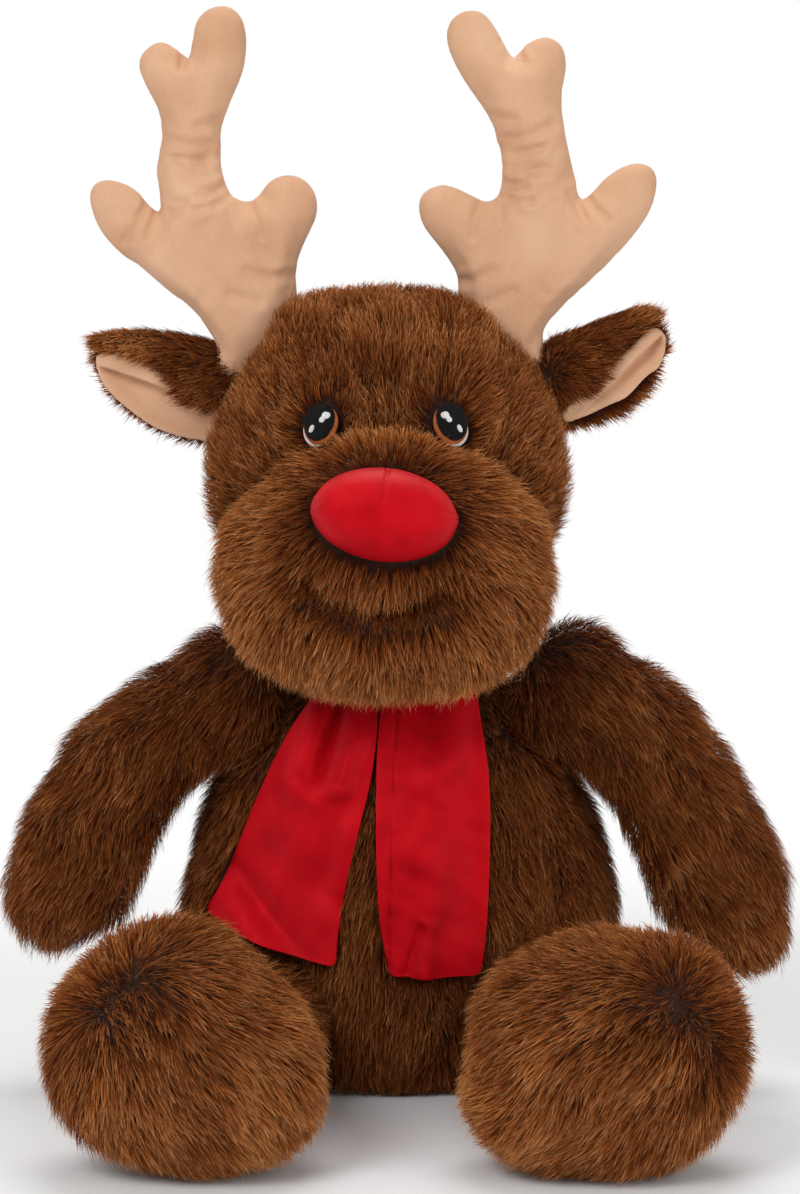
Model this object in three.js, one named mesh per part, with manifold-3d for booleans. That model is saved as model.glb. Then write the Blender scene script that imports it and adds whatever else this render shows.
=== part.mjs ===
import * as THREE from "three";
import { mergeVertices } from "three/addons/utils/BufferGeometryUtils.js";
import Module from "manifold-3d";

// A seated plush deer in millimetres. It faces -Y, +Z is up, and the origin lies in the
// middle of its flat seat. Left and right are the deer's own, so its left side is at +X.

const wasm = await Module();
wasm.setup();

// Cloth and clearances
const furThickness = 8; // knitted backing with its pressed pile
const suedeThickness = 2;
const satinThickness = 1.6;
const seamGap = 0.35; // between pieces sewn to each other
const limbSocketGap = 0.2; // between a limb's round root and the flats of its socket
const headSocketGap = 0.47; // the same for the antlers and ears
const flatDepth = 0.5; // how far a stuffed form is pressed flat on the table
const overrun = 60; // how far a cut runs past what it cuts

// Torso
const torsoHeight = 272;
const torsoWidth = 246;
const torsoDepth = 196;
const torsoNeckRound = 14;
const seatPanelWidth = 112;
const seatPanelDepth = 86;

// Neck
const neckShift = -2;
const neckBack = 15;
const neckPlugRadius = 28;
const neckPlugLength = 50;
const neckBallRadius = 34;
const neckPivotHeight = 288;

// Head
const headBottom = 282;
const headHeight = 187;
const headWidth = 206;
const headDepth = 176;
const headCrownRound = 20;
const headShift = -5;
const headForward = 5;

// Muzzle and nose
const muzzleWidth = 192;
const muzzleDepth = 124;
const muzzleHeight = 143;
const muzzleForward = 81;
const muzzleMiddle = 312.5;
const noseWidth = 82;
const noseHeight = 53;
const noseDepth = 50;
const noseRise = 40.5; // above the muzzle's middle
const noseMiddle = muzzleMiddle + noseRise;
const nosePointPower = 1.2; // over 1 draws each side out to a point

// Eyes
const eyeSpacing = 75;
const eyeRise = 86.5; // above the muzzle's middle
const eyeHeight = muzzleMiddle + eyeRise;
const eyeWide = 21;
const eyeTall = 25;
const eyeThick = 7;

// Ears
const earSpacing = 198;
const earHeight = 404;
const earBack = 10;
const earLength = 78;
const earWidth = 52;
const earThickness = 22;
const earRootRadius = 17;
const earLiningThickness = 9;
const earFlap = 20;
const earTilt = { left: 30, right: 20 }; // degrees up from level

// Antlers
const antlerHeight = 195; // from the pivot to the middle of the top tine's round end
const antlerSpacing = 142;
const antlerShift = -7;
const antlerBaseHeight = 438;
const antlerRootRadius = 23;
const antlerSway = 10;
const antlerLean = { left: 10, right: 0 }; // degrees inwards from upright

// Arms
const armLength = 122; // from the shoulder down to the middle of the hand's round end
const armReach = 109; // from the shoulder out to the same point
const armThickness = 72;
const shoulderSpacing = 188;
const shoulderHeight = 228;
const shoulderForward = 12;
const shoulderRadius = 34;
const armRootOpening = 20; // how far inside the shoulder the sleeve ends
const armLower = 8;
const armRaise = 50;

// Legs and feet
const hipSpacing = 156;
const hipHeight = 54;
const hipForward = 35;
const hipRadius = 42;
const footSpacing = 232;
const footForward = 256;
const footWidth = 146;
const footDepth = 120;
const footHeight = 144;
const solePanelDepth = 34;
const legClose = 8;
const legSpread = 20;

// Scarf
const bandHeight = 18;
const bandThickness = 5;
const bandMiddle = 242;
const bandTilt = 17;
const scarfThickness = 3.2;
const scarfTop = 233;
const scarfLength = { left: 152, right: 138 };
const scarfTopWidth = { left: 50, right: 44 };
const scarfEndWidth = { left: 49, right: 72 };
const scarfTopPlaceShares = { left: 0.098, right: -0.106 }; // of the torso's width
const scarfEndPlaceShares = { left: 0.09, right: -0.297 };
const scarfEndRise = { left: -1, right: 24 };

// Tail
const tailLength = 58;
const tailWidth = 38;
const tailThickness = 26;
const tailTop = 104;

// Facets
const bigSegments = 20;
const bigRings = 7;
const limbSegments = 14;
const limbRings = 5;
const smallSegments = 10;
const bigCapRings = 3;
const capRings = 2;
const socketSegments = 8;
const socketRings = 2;
const sweepSteps = 1;

const sides = [
  { name: "left", sign: 1 },
  { name: "right", sign: -1 },
];
const alongX = new THREE.Vector3(1, 0, 0);
const alongY = new THREE.Vector3(0, 1, 0);
const alongZ = new THREE.Vector3(0, 0, 1);

// Each row: share of the height, of the half width, of the half depth, and how far the
// middle lies back as a share of the half depth.
const torsoShares = [
  [0.11, 0.93, 0.94, 0],
  [0.27, 0.995, 1, 0],
  [0.42, 1, 0.98, 0],
  [0.58, 0.97, 0.9, 0.01],
  [0.72, 0.88, 0.75, 0.05],
  [0.825, 0.72, 0.57, 0.11],
  [0.9, 0.5, 0.46, 0.17],
  [0.95, 0.41, 0.4, 0.2],
];
const headShares = [
  [0.1, 0.72, 0.7, 0],
  [0.257, 0.95, 0.95, 0],
  [0.428, 1, 1, 0],
  [0.642, 0.935, 0.97, 0],
  [0.8, 0.845, 0.86, 0],
  [0.893, 0.7, 0.72, 0],
];
// Each row: share of the reach, of the drop, of the forward lean and of the half thickness.
const armShares = [
  [0, 0, 0, 0.95],
  [0.44, 0.13, 0.3, 0.88],
  [0.76, 0.46, 0.65, 1],
  [0.95, 0.84, 0.95, 0.97],
  [1, 1, 1, 0.82],
];
const armForwardShare = 0.26;
const armFlatShare = 0.92;
// Each row: share of the way from hip to foot, sideways, forwards and up, and of the hip radius.
const legShares = [
  [0, 0, 0, 1],
  [0.45, 0.36, -0.3, 0.98],
  [0.85, 0.72, 0.2, 1.08],
];
// Antler branches: each row is a middle point outwards and up, and the half width there,
// all as shares of the antler's height.
const antlerShares = {
  beam: [
    [0, 0, 0.118],
    [0.107, 0.205, 0.126],
    [0.2, 0.343, 0.115],
    [0.25, 0.497, 0.095],
    [0.246, 0.65, 0.09],
    [0.215, 0.805, 0.09],
    [0.17, 0.93, 0.078],
    [0.149, 1, 0.075],
  ],
  topTine: [
    [0.238, 0.69, 0.07],
    [0.292, 0.805, 0.072],
    [0.34, 0.878, 0.067],
    [0.35, 0.893, 0.062],
  ],
  outerTine: [
    [0.17, 0.28, 0.112],
    [0.307, 0.36, 0.106],
    [0.415, 0.43, 0.087],
    [0.487, 0.467, 0.067],
  ],
  innerTine: [
    [0.092, 0.277, 0.103],
    [0.005, 0.38, 0.09],
    [-0.046, 0.44, 0.078],
    [-0.061, 0.462, 0.072],
  ],
};
const antlerFlatShare = 0.8;
// Each row: share of the ear's length, and of its half width and half thickness.
const earShares = [
  [0, 0.64, 1],
  [0.25, 0.92, 1],
  [0.52, 1, 0.86],
  [0.78, 0.72, 0.66],
  [0.92, 0.36, 0.5],
];
// Where a scarf end comes down off the band, as shares of the band's height below its top
const overBandShares = { start: 1.9, end: 3.2 };
const earLiningStartShare = 0.28;
const earLiningShare = 0.66;
const earLiningDropShare = 0.16;

const furBrown = new THREE.MeshStandardMaterial({ color: 0x64391b, roughness: 0.95, metalness: 0 });
const tanSuede = new THREE.MeshStandardMaterial({ color: 0xdeb08a, roughness: 0.85, metalness: 0 });
const redSatin = new THREE.MeshStandardMaterial({ color: 0xc4101c, roughness: 0.42, metalness: 0 });
const eyeThread = new THREE.MeshStandardMaterial({ color: 0x14100e, roughness: 0.4, metalness: 0 });
const fibreWhite = new THREE.MeshStandardMaterial({ color: 0xf1efe9, roughness: 1, metalness: 0 });

// A smooth closed form through stations { at, wide, deep }, with a round cap at each end.
// grow moves its whole surface outwards, or inwards where it is negative.
function loftGeometry(form, grow = 0) {
  const { stations, across, segments, rings, startRound, endRound } = form;
  const { startPower = 2, endPower = 2, sidePower = 2, startCrowd = 1, caps = capRings } = form;
  const path = new THREE.CatmullRomCurve3(stations.map((station) => station.at));
  const sizes = new THREE.CatmullRomCurve3(
    stations.map((station) => new THREE.Vector3(station.wide, station.deep, 0)),
  );
  const loops = [];
  const addLoop = (t, share, offset) => {
    const size = sizes.getPoint(t);
    const tangent = path.getTangent(t);
    loops.push({
      middle: path.getPoint(t).addScaledVector(tangent, offset),
      tangent,
      wide: (size.x + grow) * share,
      deep: (size.y + grow) * share,
    });
  };
  for (let ring = 1; ring < caps; ring += 1) {
    const angle = (ring / caps) ** startCrowd * (Math.PI / 2);
    const drop = Math.cos(angle) ** (2 / startPower);
    addLoop(0, Math.sin(angle) ** (2 / startPower), -(startRound + grow) * drop);
  }
  for (let ring = 0; ring <= rings; ring += 1) {
    addLoop(ring / rings, 1, 0);
  }
  for (let ring = caps - 1; ring > 0; ring -= 1) {
    const angle = (ring / caps) * (Math.PI / 2);
    const rise = Math.cos(angle) ** (2 / endPower);
    addLoop(1, Math.sin(angle) ** (2 / endPower), (endRound + grow) * rise);
  }
  const startPole = path.getPoint(0).addScaledVector(path.getTangent(0), -(startRound + grow));
  const endPole = path.getPoint(1).addScaledVector(path.getTangent(1), endRound + grow);
  return skinLoops(loops, across, segments, startPole, endPole, sidePower);
}

// Joins rings of points and two end points into one closed mesh.
function skinLoops(loops, across, segments, startPole, endPole, sidePower) {
  const points = [];
  const faces = [];
  for (const { middle, tangent, wide, deep } of loops) {
    const sideways = across.clone().addScaledVector(tangent, -across.dot(tangent)).normalize();
    const upwards = new THREE.Vector3().crossVectors(tangent, sideways);
    for (let step = 0; step < segments; step += 1) {
      const angle = (step / segments) * 2 * Math.PI;
      const a = softPower(Math.cos(angle), 2 / sidePower) * wide;
      const b = softPower(Math.sin(angle), 2 / sidePower) * deep;
      points.push(middle.clone().addScaledVector(sideways, a).addScaledVector(upwards, b));
    }
  }
  const startIndex = points.push(startPole) - 1;
  const endIndex = points.push(endPole) - 1;
  const lastLoop = (loops.length - 1) * segments;
  for (let step = 0; step < segments; step += 1) {
    const next = (step + 1) % segments;
    faces.push(startIndex, next, step);
    for (let loop = 0; loop < lastLoop; loop += segments) {
      faces.push(loop + step, loop + next, loop + segments + step);
      faces.push(loop + next, loop + segments + next, loop + segments + step);
    }
    faces.push(endIndex, lastLoop + step, lastLoop + next);
  }
  const geometry = new THREE.BufferGeometry().setFromPoints(points);
  geometry.setIndex(faces);
  return geometry;
}

function softPower(value, power) {
  return Math.sign(value) * Math.abs(value) ** power;
}

// An upright loft whose stations come from a table of shares.
function uprightForm(shares, size, options) {
  const stations = shares.map(([up, wide, deep, back]) => ({
    at: new THREE.Vector3(size.x, size.y + (back * size.depth) / 2, size.z + up * size.height),
    wide: (wide * size.width) / 2,
    deep: (deep * size.depth) / 2,
  }));
  const facets = { segments: bigSegments, rings: bigRings, caps: bigCapRings };
  return { stations, across: alongX, ...facets, ...options };
}

// A round cushion-like form: a sphere drawn out to its three sizes, squarer with more power.
function puffGeometry(form, grow = 0) {
  const { at, width, depth, height, planPower, sidePower, segments, rings } = form;
  const sphere = new THREE.SphereGeometry(1, segments, rings);
  const places = sphere.getAttribute("position");
  for (let index = 0; index < places.count; index += 1) {
    const level = Math.sqrt(places.getX(index) ** 2 + places.getZ(index) ** 2);
    const span = level > 0 ? softPower(level, 2 / sidePower) : 0;
    const turnX = level > 0 ? softPower(places.getX(index) / level, 2 / planPower) : 0;
    const turnY = level > 0 ? softPower(places.getZ(index) / level, 2 / planPower) : 0;
    places.setXYZ(
      index,
      at.x + span * turnX * (width / 2 + grow),
      at.y - span * turnY * (depth / 2 + grow),
      at.z + softPower(places.getY(index), 2 / sidePower) * (height / 2 + grow),
    );
  }
  return sphere;
}

// A stuffed form's inside: half the facets, in line with those of its outside.
function hollow(form) {
  return { ...form, segments: form.segments / 2, rings: Math.ceil(form.rings / 2) + 1 };
}

// A box from its lowest to its highest corner.
function boxGeometry(low, high) {
  const size = high.clone().sub(low);
  const middle = high.clone().add(low).multiplyScalar(0.5);
  return new THREE.BoxGeometry(size.x, size.y, size.z).translate(middle.x, middle.y, middle.z);
}

function solidOf(geometry) {
  const bare = geometry.clone();
  bare.deleteAttribute("normal");
  bare.deleteAttribute("uv");
  const merged = mergeVertices(bare);
  return new wasm.Manifold(
    new wasm.Mesh({
      numProp: 3,
      vertProperties: Float32Array.from(merged.getAttribute("position").array),
      triVerts: Uint32Array.from(merged.index.array),
    }),
  );
}

function geometryOf(solid) {
  const mesh = solid.getMesh();
  const geometry = new THREE.BufferGeometry();
  geometry.setAttribute("position", new THREE.BufferAttribute(mesh.vertProperties, 3));
  geometry.setIndex(new THREE.BufferAttribute(mesh.triVerts, 1));
  return geometry;
}

function joined(solids) {
  return solids.reduce((whole, solid) => whole.add(solid));
}

function without(solid, cuts) {
  return cuts.reduce((rest, cut) => rest.subtract(cut), solid);
}

function turned(geometry, hinge, degrees) {
  const { pivot, axis } = hinge;
  const turn = new THREE.Matrix4().makeRotationAxis(axis, THREE.MathUtils.degToRad(degrees));
  return geometry
    .clone()
    .translate(-pivot.x, -pivot.y, -pivot.z)
    .applyMatrix4(turn)
    .translate(pivot.x, pivot.y, pivot.z);
}

// The space that a loft passes through as it turns about its hinge. It has few faces, and
// is moved out until its flats clear the fine form by the gap.
function swept(form, hinge, gap, lean = (geometry) => geometry) {
  const half = Math.max(...form.stations.map((station) => station.wide));
  const grow = (half + gap) / Math.cos(Math.PI / socketSegments) - half;
  const plain = { ...form, segments: socketSegments, rings: socketRings };
  const geometry = lean(loftGeometry(plain, grow));
  const solids = [];
  for (let step = 0; step <= sweepSteps; step += 1) {
    const degrees = hinge.low + ((hinge.high - hinge.low) * step) / sweepSteps;
    solids.push(solidOf(turned(geometry, hinge, degrees)));
  }
  return joined(solids);
}

// Where a line parallel to Y first meets a form, from the front or from the back.
function surfaceY(geometry, x, z, fromFront = true) {
  const direction = fromFront ? alongY : alongY.clone().negate();
  const start = new THREE.Vector3(x, 0, z).addScaledVector(direction, -torsoHeight);
  const target = new THREE.Mesh(geometry, furBrown);
  const ray = new THREE.Raycaster(start, direction);
  return ray.intersectObject(target)[0].point.y;
}

const deer = new THREE.Group();
deer.name = "plush_deer";

function addPiece(name, solid, material, pivot = new THREE.Vector3()) {
  const geometry = geometryOf(solid).translate(-pivot.x, -pivot.y, -pivot.z);
  geometry.computeVertexNormals();
  const piece = new THREE.Mesh(geometry, material);
  piece.name = name;
  piece.position.copy(pivot);
  deer.add(piece);
}

// The main forms that everything else is cut by or set on
const torsoForm = uprightForm(
  torsoShares,
  { x: 0, y: 0, z: 0, width: torsoWidth, depth: torsoDepth, height: torsoHeight },
  {
    startRound: torsoShares[0][0] * torsoHeight + flatDepth,
    endRound: torsoNeckRound,
    startPower: 4.6,
    startCrowd: 1.6,
  },
);
const headForm = uprightForm(
  headShares,
  {
    x: headShift,
    y: -headForward,
    z: headBottom,
    width: headWidth,
    depth: headDepth,
    height: headHeight,
  },
  {
    startRound: headShares[0][0] * headHeight,
    endRound: headCrownRound,
    endPower: 2.3,
    sidePower: 2.15,
  },
);
const muzzleForm = {
  at: new THREE.Vector3(headShift, -muzzleForward, muzzleMiddle),
  width: muzzleWidth,
  depth: muzzleDepth,
  height: muzzleHeight,
  planPower: 2.3,
  sidePower: 2.45,
  segments: bigSegments,
  rings: bigRings + bigCapRings,
};
const torsoFace = loftGeometry(torsoForm);
const bandFace = loftGeometry(torsoForm, seamGap + bandThickness);
const headFace = loftGeometry(headForm);
const muzzleFace = puffGeometry(muzzleForm);
const aboveTable = solidOf(
  boxGeometry(
    new THREE.Vector3(-torsoWidth - overrun, -footForward - footDepth, 0),
    new THREE.Vector3(torsoWidth + overrun, torsoDepth + overrun, headBottom + headHeight),
  ),
);

// Neck: a round plug that turns in the torso and carries the head on its ball
const neckPivot = new THREE.Vector3(neckShift, neckBack, neckPivotHeight);

function neckSolid(grow = 0, turn = 0) {
  const radius = neckPlugRadius + grow;
  const length = neckPlugLength + grow;
  const ball = new THREE.SphereGeometry(neckBallRadius + grow, bigSegments, bigSegments / 2);
  const plug = new THREE.CylinderGeometry(radius, radius, length, bigSegments);
  plug.rotateX(Math.PI / 2).translate(0, 0, -length / 2);
  const placed = [ball.rotateX(Math.PI / 2), plug].map((geometry) =>
    geometry.rotateZ(turn).translate(neckPivot.x, neckPivot.y, neckPivot.z),
  );
  return joined(placed.map((geometry) => solidOf(geometry)));
}

// The round space that the neck turns in. It is moved out until its flats clear the ball's
// edges, and turned so that they face each other at rest.
function neckSocket() {
  const flats = Math.cos(Math.PI / bigSegments) ** 2;
  return neckSolid((neckBallRadius + seamGap) / flats - neckBallRadius, Math.PI / bigSegments);
}

// Arms
function shoulderHinge(side) {
  return {
    pivot: new THREE.Vector3((side.sign * shoulderSpacing) / 2, -shoulderForward, shoulderHeight),
    axis: alongY.clone().multiplyScalar(-side.sign),
    low: -armLower,
    high: armRaise,
  };
}

function armForm(side) {
  const { pivot } = shoulderHinge(side);
  const stations = armShares.map(([out, down, forward, thick]) => ({
    at: new THREE.Vector3(
      pivot.x + side.sign * out * armReach,
      pivot.y - forward * armForwardShare * armLength,
      pivot.z - down * armLength,
    ),
    wide: (thick * armThickness) / 2,
    deep: (thick * armThickness * armFlatShare) / 2,
  }));
  return {
    stations,
    across: alongX,
    segments: limbSegments,
    rings: limbRings,
    startRound: shoulderRadius,
    endRound: stations.at(-1).wide,
  };
}

function addArm(side) {
  const form = armForm(side);
  const { pivot } = shoulderHinge(side);
  const start = form.stations[0].at;
  const inwards = start.clone().sub(form.stations[1].at).normalize();
  const opening = new THREE.CylinderGeometry(overrun, overrun, overrun, limbSegments)
    .translate(0, overrun / 2 + armRootOpening, 0)
    .applyQuaternion(new THREE.Quaternion().setFromUnitVectors(alongY, inwards))
    .translate(start.x, start.y, start.z);
  const sleeve = without(solidOf(loftGeometry(form)), [
    solidOf(loftGeometry(hollow(form), -furThickness)),
    solidOf(opening),
  ]);
  const filling = solidOf(loftGeometry(hollow(form), -furThickness - seamGap));
  addPiece(`arm_${side.name}_skin`, sleeve, furBrown, pivot);
  addPiece(`arm_${side.name}_filling`, filling, fibreWhite, pivot);
}

// Legs, each with its big upright foot
function hipHinge(side) {
  return {
    pivot: new THREE.Vector3((side.sign * hipSpacing) / 2, -hipForward, hipHeight),
    axis: alongZ.clone().multiplyScalar(side.sign),
    low: -legClose,
    high: legSpread,
  };
}

function footForm(side) {
  return {
    at: new THREE.Vector3((side.sign * footSpacing) / 2, -footForward, footHeight / 2 - flatDepth),
    width: footWidth,
    depth: footDepth,
    height: footHeight,
    planPower: 2.2,
    sidePower: 2.2,
    segments: bigSegments,
    rings: bigRings + bigCapRings,
  };
}

function legForm(side) {
  const { pivot } = hipHinge(side);
  const foot = footForm(side).at;
  const stations = legShares.map(([forward, out, up, thick]) => ({
    at: new THREE.Vector3(
      pivot.x + out * (foot.x - pivot.x),
      pivot.y + forward * (foot.y - pivot.y),
      pivot.z + up * (foot.z - pivot.z),
    ),
    wide: thick * hipRadius,
    deep: thick * hipRadius,
  }));
  return {
    stations,
    across: alongX,
    segments: limbSegments,
    rings: limbRings,
    startRound: hipRadius,
    endRound: hipRadius / 2,
  };
}

function addLeg(side) {
  const { pivot } = hipHinge(side);
  const front = -footForward - footDepth / 2 + solePanelDepth;
  const nearHalf = (shift) =>
    solidOf(
      boxGeometry(
        new THREE.Vector3(-torsoWidth - overrun, -footForward - footDepth, -overrun),
        new THREE.Vector3(torsoWidth + overrun, front + shift, footHeight + overrun),
      ),
    );
  const whole = (leg, foot, grow) =>
    solidOf(loftGeometry(leg, grow)).add(solidOf(puffGeometry(foot, grow)));
  const outside = whole(legForm(side), footForm(side), 0).intersect(aboveTable);
  const inside = (grow) => whole(hollow(legForm(side)), hollow(footForm(side)), grow);
  const shell = outside.subtract(inside(-furThickness));
  addPiece(`leg_${side.name}_skin`, shell.subtract(nearHalf(seamGap / 2)), furBrown, pivot);
  addPiece(`sole_${side.name}_panel`, shell.intersect(nearHalf(-seamGap / 2)), furBrown, pivot);
  addPiece(`leg_${side.name}_filling`, inside(-furThickness - seamGap), fibreWhite, pivot);
}

// Antlers: four stuffed branches that grow into each other
function antlerHinge(side) {
  return {
    pivot: new THREE.Vector3(
      headShift + antlerShift + (side.sign * antlerSpacing) / 2,
      0,
      antlerBaseHeight,
    ),
    axis: alongX,
    low: -antlerSway,
    high: antlerSway,
  };
}

function antlerForms(side) {
  const { pivot } = antlerHinge(side);
  return Object.entries(antlerShares).map(([name, rows]) => {
    const stations = rows.map(([out, up, half]) => ({
      at: new THREE.Vector3(
        pivot.x + side.sign * out * antlerHeight,
        pivot.y,
        pivot.z + up * antlerHeight,
      ),
      wide: half * antlerHeight,
      deep: half * antlerHeight * antlerFlatShare,
    }));
    const isBeam = name === "beam";
    return {
      stations,
      across: isBeam ? alongX : alongZ,
      segments: smallSegments,
      rings: stations.length - 1,
      startRound: isBeam ? antlerRootRadius : stations[0].wide / 2,
      endRound: stations.at(-1).wide,
    };
  });
}

function antlerLeant(side, geometry) {
  const lean = { ...antlerHinge(side), axis: alongY.clone().multiplyScalar(-side.sign) };
  return turned(geometry, lean, antlerLean[side.name]);
}

function addAntler(side) {
  const { pivot } = antlerHinge(side);
  const whole = (grow) =>
    joined(antlerForms(side).map((form) => solidOf(antlerLeant(side, loftGeometry(form, grow)))));
  const reach = antlerHeight + overrun;
  const frontSpace = (shift) =>
    solidOf(
      boxGeometry(
        new THREE.Vector3(pivot.x - reach, pivot.y - reach, pivot.z - overrun),
        new THREE.Vector3(pivot.x + reach, pivot.y + shift, pivot.z + reach),
      ),
    );
  const opening = solidOf(
    boxGeometry(
      new THREE.Vector3(pivot.x - overrun, pivot.y - overrun, pivot.z - overrun),
      new THREE.Vector3(pivot.x + overrun, pivot.y + overrun, pivot.z - antlerRootRadius / 2),
    ),
  );
  const cover = without(whole(0), [whole(-suedeThickness), opening]);
  const front = cover.intersect(frontSpace(-seamGap / 2));
  const back = cover.subtract(frontSpace(seamGap / 2));
  addPiece(`antler_${side.name}_front`, front, tanSuede, pivot);
  addPiece(`antler_${side.name}_back`, back, tanSuede, pivot);
  addPiece(`antler_${side.name}_filling`, whole(-suedeThickness - seamGap), fibreWhite, pivot);
}

// Ears: a fur back with a suede lining set in its front
function earHinge(side) {
  return {
    pivot: new THREE.Vector3(headShift + (side.sign * earSpacing) / 2, earBack, earHeight),
    axis: alongZ.clone().multiplyScalar(side.sign),
    low: -earFlap,
    high: earFlap,
  };
}

function earForm(side, startShare, widthShare, thickness, forward, drop) {
  const { pivot } = earHinge(side);
  const stations = earShares.map(([along, wide, deep]) => ({
    at: new THREE.Vector3(
      pivot.x + side.sign * THREE.MathUtils.lerp(startShare, 1, along) * earLength,
      pivot.y - forward,
      pivot.z - drop,
    ),
    wide: (wide * earWidth * widthShare) / 2,
    deep: (deep * thickness) / 2,
  }));
  return {
    stations,
    across: alongZ,
    segments: smallSegments,
    rings: limbRings,
    startRound: earRootRadius * widthShare,
    endRound: stations.at(-1).wide,
  };
}

function earLifted(side, geometry) {
  const lift = { ...earHinge(side), axis: alongY.clone().multiplyScalar(-side.sign) };
  return turned(geometry, lift, earTilt[side.name]);
}

function earBackForm(side) {
  return earForm(side, 0, 1, earThickness, 0, 0);
}

function earLiningForm(side) {
  const forward = (earThickness - earLiningThickness) / 2 + suedeThickness;
  const drop = earLiningDropShare * earWidth;
  return earForm(side, earLiningStartShare, earLiningShare, earLiningThickness, forward, drop);
}

function addEar(side, antlerSpace, headOutside) {
  const { pivot } = earHinge(side);
  const earSolid = (form, grow) => solidOf(earLifted(side, loftGeometry(form, grow)));
  const lining = earSolid(earLiningForm(side), 0);
  const pocket = earSolid(earLiningForm(side), seamGap);
  const back = without(earSolid(earBackForm(side), 0), [pocket, antlerSpace]);
  addPiece(`ear_${side.name}_back`, back, furBrown, pivot);
  addPiece(`ear_${side.name}_lining`, lining.subtract(headOutside), tanSuede, pivot);
}

// Head, muzzle, nose and eyes
function addHead(socketSpaces) {
  const headOuter = solidOf(headFace);
  const headInner = solidOf(loftGeometry(hollow(headForm), -furThickness));
  const muzzleInner = solidOf(puffGeometry(hollow(muzzleForm), -furThickness));
  const headClear = solidOf(loftGeometry(headForm, seamGap));
  const skin = without(headOuter, [headInner, muzzleInner, ...socketSpaces]);
  const muzzle = without(solidOf(muzzleFace), [muzzleInner, headClear]);
  const headStuffing = solidOf(loftGeometry(hollow(headForm), -furThickness - seamGap));
  const muzzleStuffing = solidOf(puffGeometry(hollow(muzzleForm), -furThickness - seamGap));
  const filling = without(headStuffing.add(muzzleStuffing), socketSpaces);
  addPiece("head_skin", skin, furBrown, neckPivot);
  addPiece("muzzle_skin", muzzle, furBrown, neckPivot);
  addPiece("head_filling", filling, fibreWhite, neckPivot);
}

// A lemon-shaped nose with a point at each side
function noseGeometry(grow = 0) {
  const profile = [];
  for (let step = 0; step <= limbSegments / 2; step += 1) {
    const angle = (step / (limbSegments / 2) - 0.5) * Math.PI;
    const round = step % (limbSegments / 2) === 0 ? 0 : Math.cos(angle) ** nosePointPower;
    profile.push(new THREE.Vector2(round, Math.sin(angle)));
  }
  const front = surfaceY(muzzleFace, headShift, noseMiddle);
  return new THREE.LatheGeometry(profile, limbSegments)
    .rotateZ(Math.PI / 2)
    .scale(-(noseWidth / 2 + grow), -(noseDepth / 2 + grow), noseHeight / 2 + grow)
    .translate(headShift, front, noseMiddle);
}

function addNose() {
  const muzzleClear = solidOf(puffGeometry(muzzleForm, seamGap));
  const cover = without(solidOf(noseGeometry()), [
    solidOf(noseGeometry(-satinThickness)),
    muzzleClear,
  ]);
  const filling = solidOf(noseGeometry(-satinThickness - seamGap)).subtract(muzzleClear);
  addPiece("nose_cover", cover, redSatin, neckPivot);
  addPiece("nose_filling", filling, fibreWhite, neckPivot);
}

function addEyes() {
  const behind = solidOf(loftGeometry(headForm, seamGap));
  const below = solidOf(puffGeometry(muzzleForm, seamGap));
  for (const side of sides) {
    const x = headShift + (side.sign * eyeSpacing) / 2;
    const patch = puffGeometry({
      at: new THREE.Vector3(x, surfaceY(headFace, x, eyeHeight), eyeHeight),
      width: eyeWide,
      depth: eyeThick,
      height: eyeTall,
      planPower: 2.4,
      sidePower: 2.2,
      segments: smallSegments,
      rings: limbRings,
    });
    addPiece(`eye_${side.name}`, without(solidOf(patch), [behind, below]), eyeThread, neckPivot);
  }
}

// Torso skin with its sockets, its seat panel and its filling
function addTorso(limbSpaces) {
  const outer = solidOf(torsoFace).intersect(aboveTable);
  const inner = solidOf(loftGeometry(hollow(torsoForm), -furThickness));
  const seatAt = (grow) =>
    solidOf(
      new THREE.CylinderGeometry(1, 1, furThickness, bigSegments)
        .rotateX(Math.PI / 2)
        .scale(seatPanelWidth / 2 + grow, seatPanelDepth / 2 + grow, 1)
        .translate(0, 0, furThickness / 2),
    );
  const underSeat = solidOf(
    boxGeometry(
      new THREE.Vector3(-torsoWidth, -torsoDepth, -overrun),
      new THREE.Vector3(torsoWidth, torsoDepth, furThickness + seamGap),
    ),
  );
  const stuffing = solidOf(loftGeometry(hollow(torsoForm), -furThickness - seamGap));
  addPiece("torso_skin", without(outer, [inner, seatAt(seamGap), ...limbSpaces]), furBrown);
  addPiece("seat_panel", seatAt(0), furBrown);
  addPiece("torso_filling", without(stuffing, [underSeat, ...limbSpaces]), fibreWhite);
}

// Scarf: a padded band round the neck and two hanging ends of doubled satin
function addBand(limbSpaces) {
  const slab = new THREE.BoxGeometry(torsoWidth, torsoDepth, bandHeight)
    .rotateX(THREE.MathUtils.degToRad(bandTilt))
    .translate(0, 0, bandMiddle);
  const inner = solidOf(loftGeometry(torsoForm, seamGap));
  const band = without(solidOf(bandFace).intersect(solidOf(slab)), [inner, ...limbSpaces]);
  addPiece("scarf_band", band, redSatin);
}

// A scarf end lifts about the hindmost point of its top edge.
function scarfPivot(side) {
  const x = scarfTopPlaceShares[side.name] * torsoWidth;
  const half = scarfTopWidth[side.name] / 2;
  const edge = [x - half, x, x + half].map((place) => surfaceY(bandFace, place, scarfTop));
  return new THREE.Vector3(x, Math.max(...edge) - 3 * seamGap, scarfTop);
}

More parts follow.
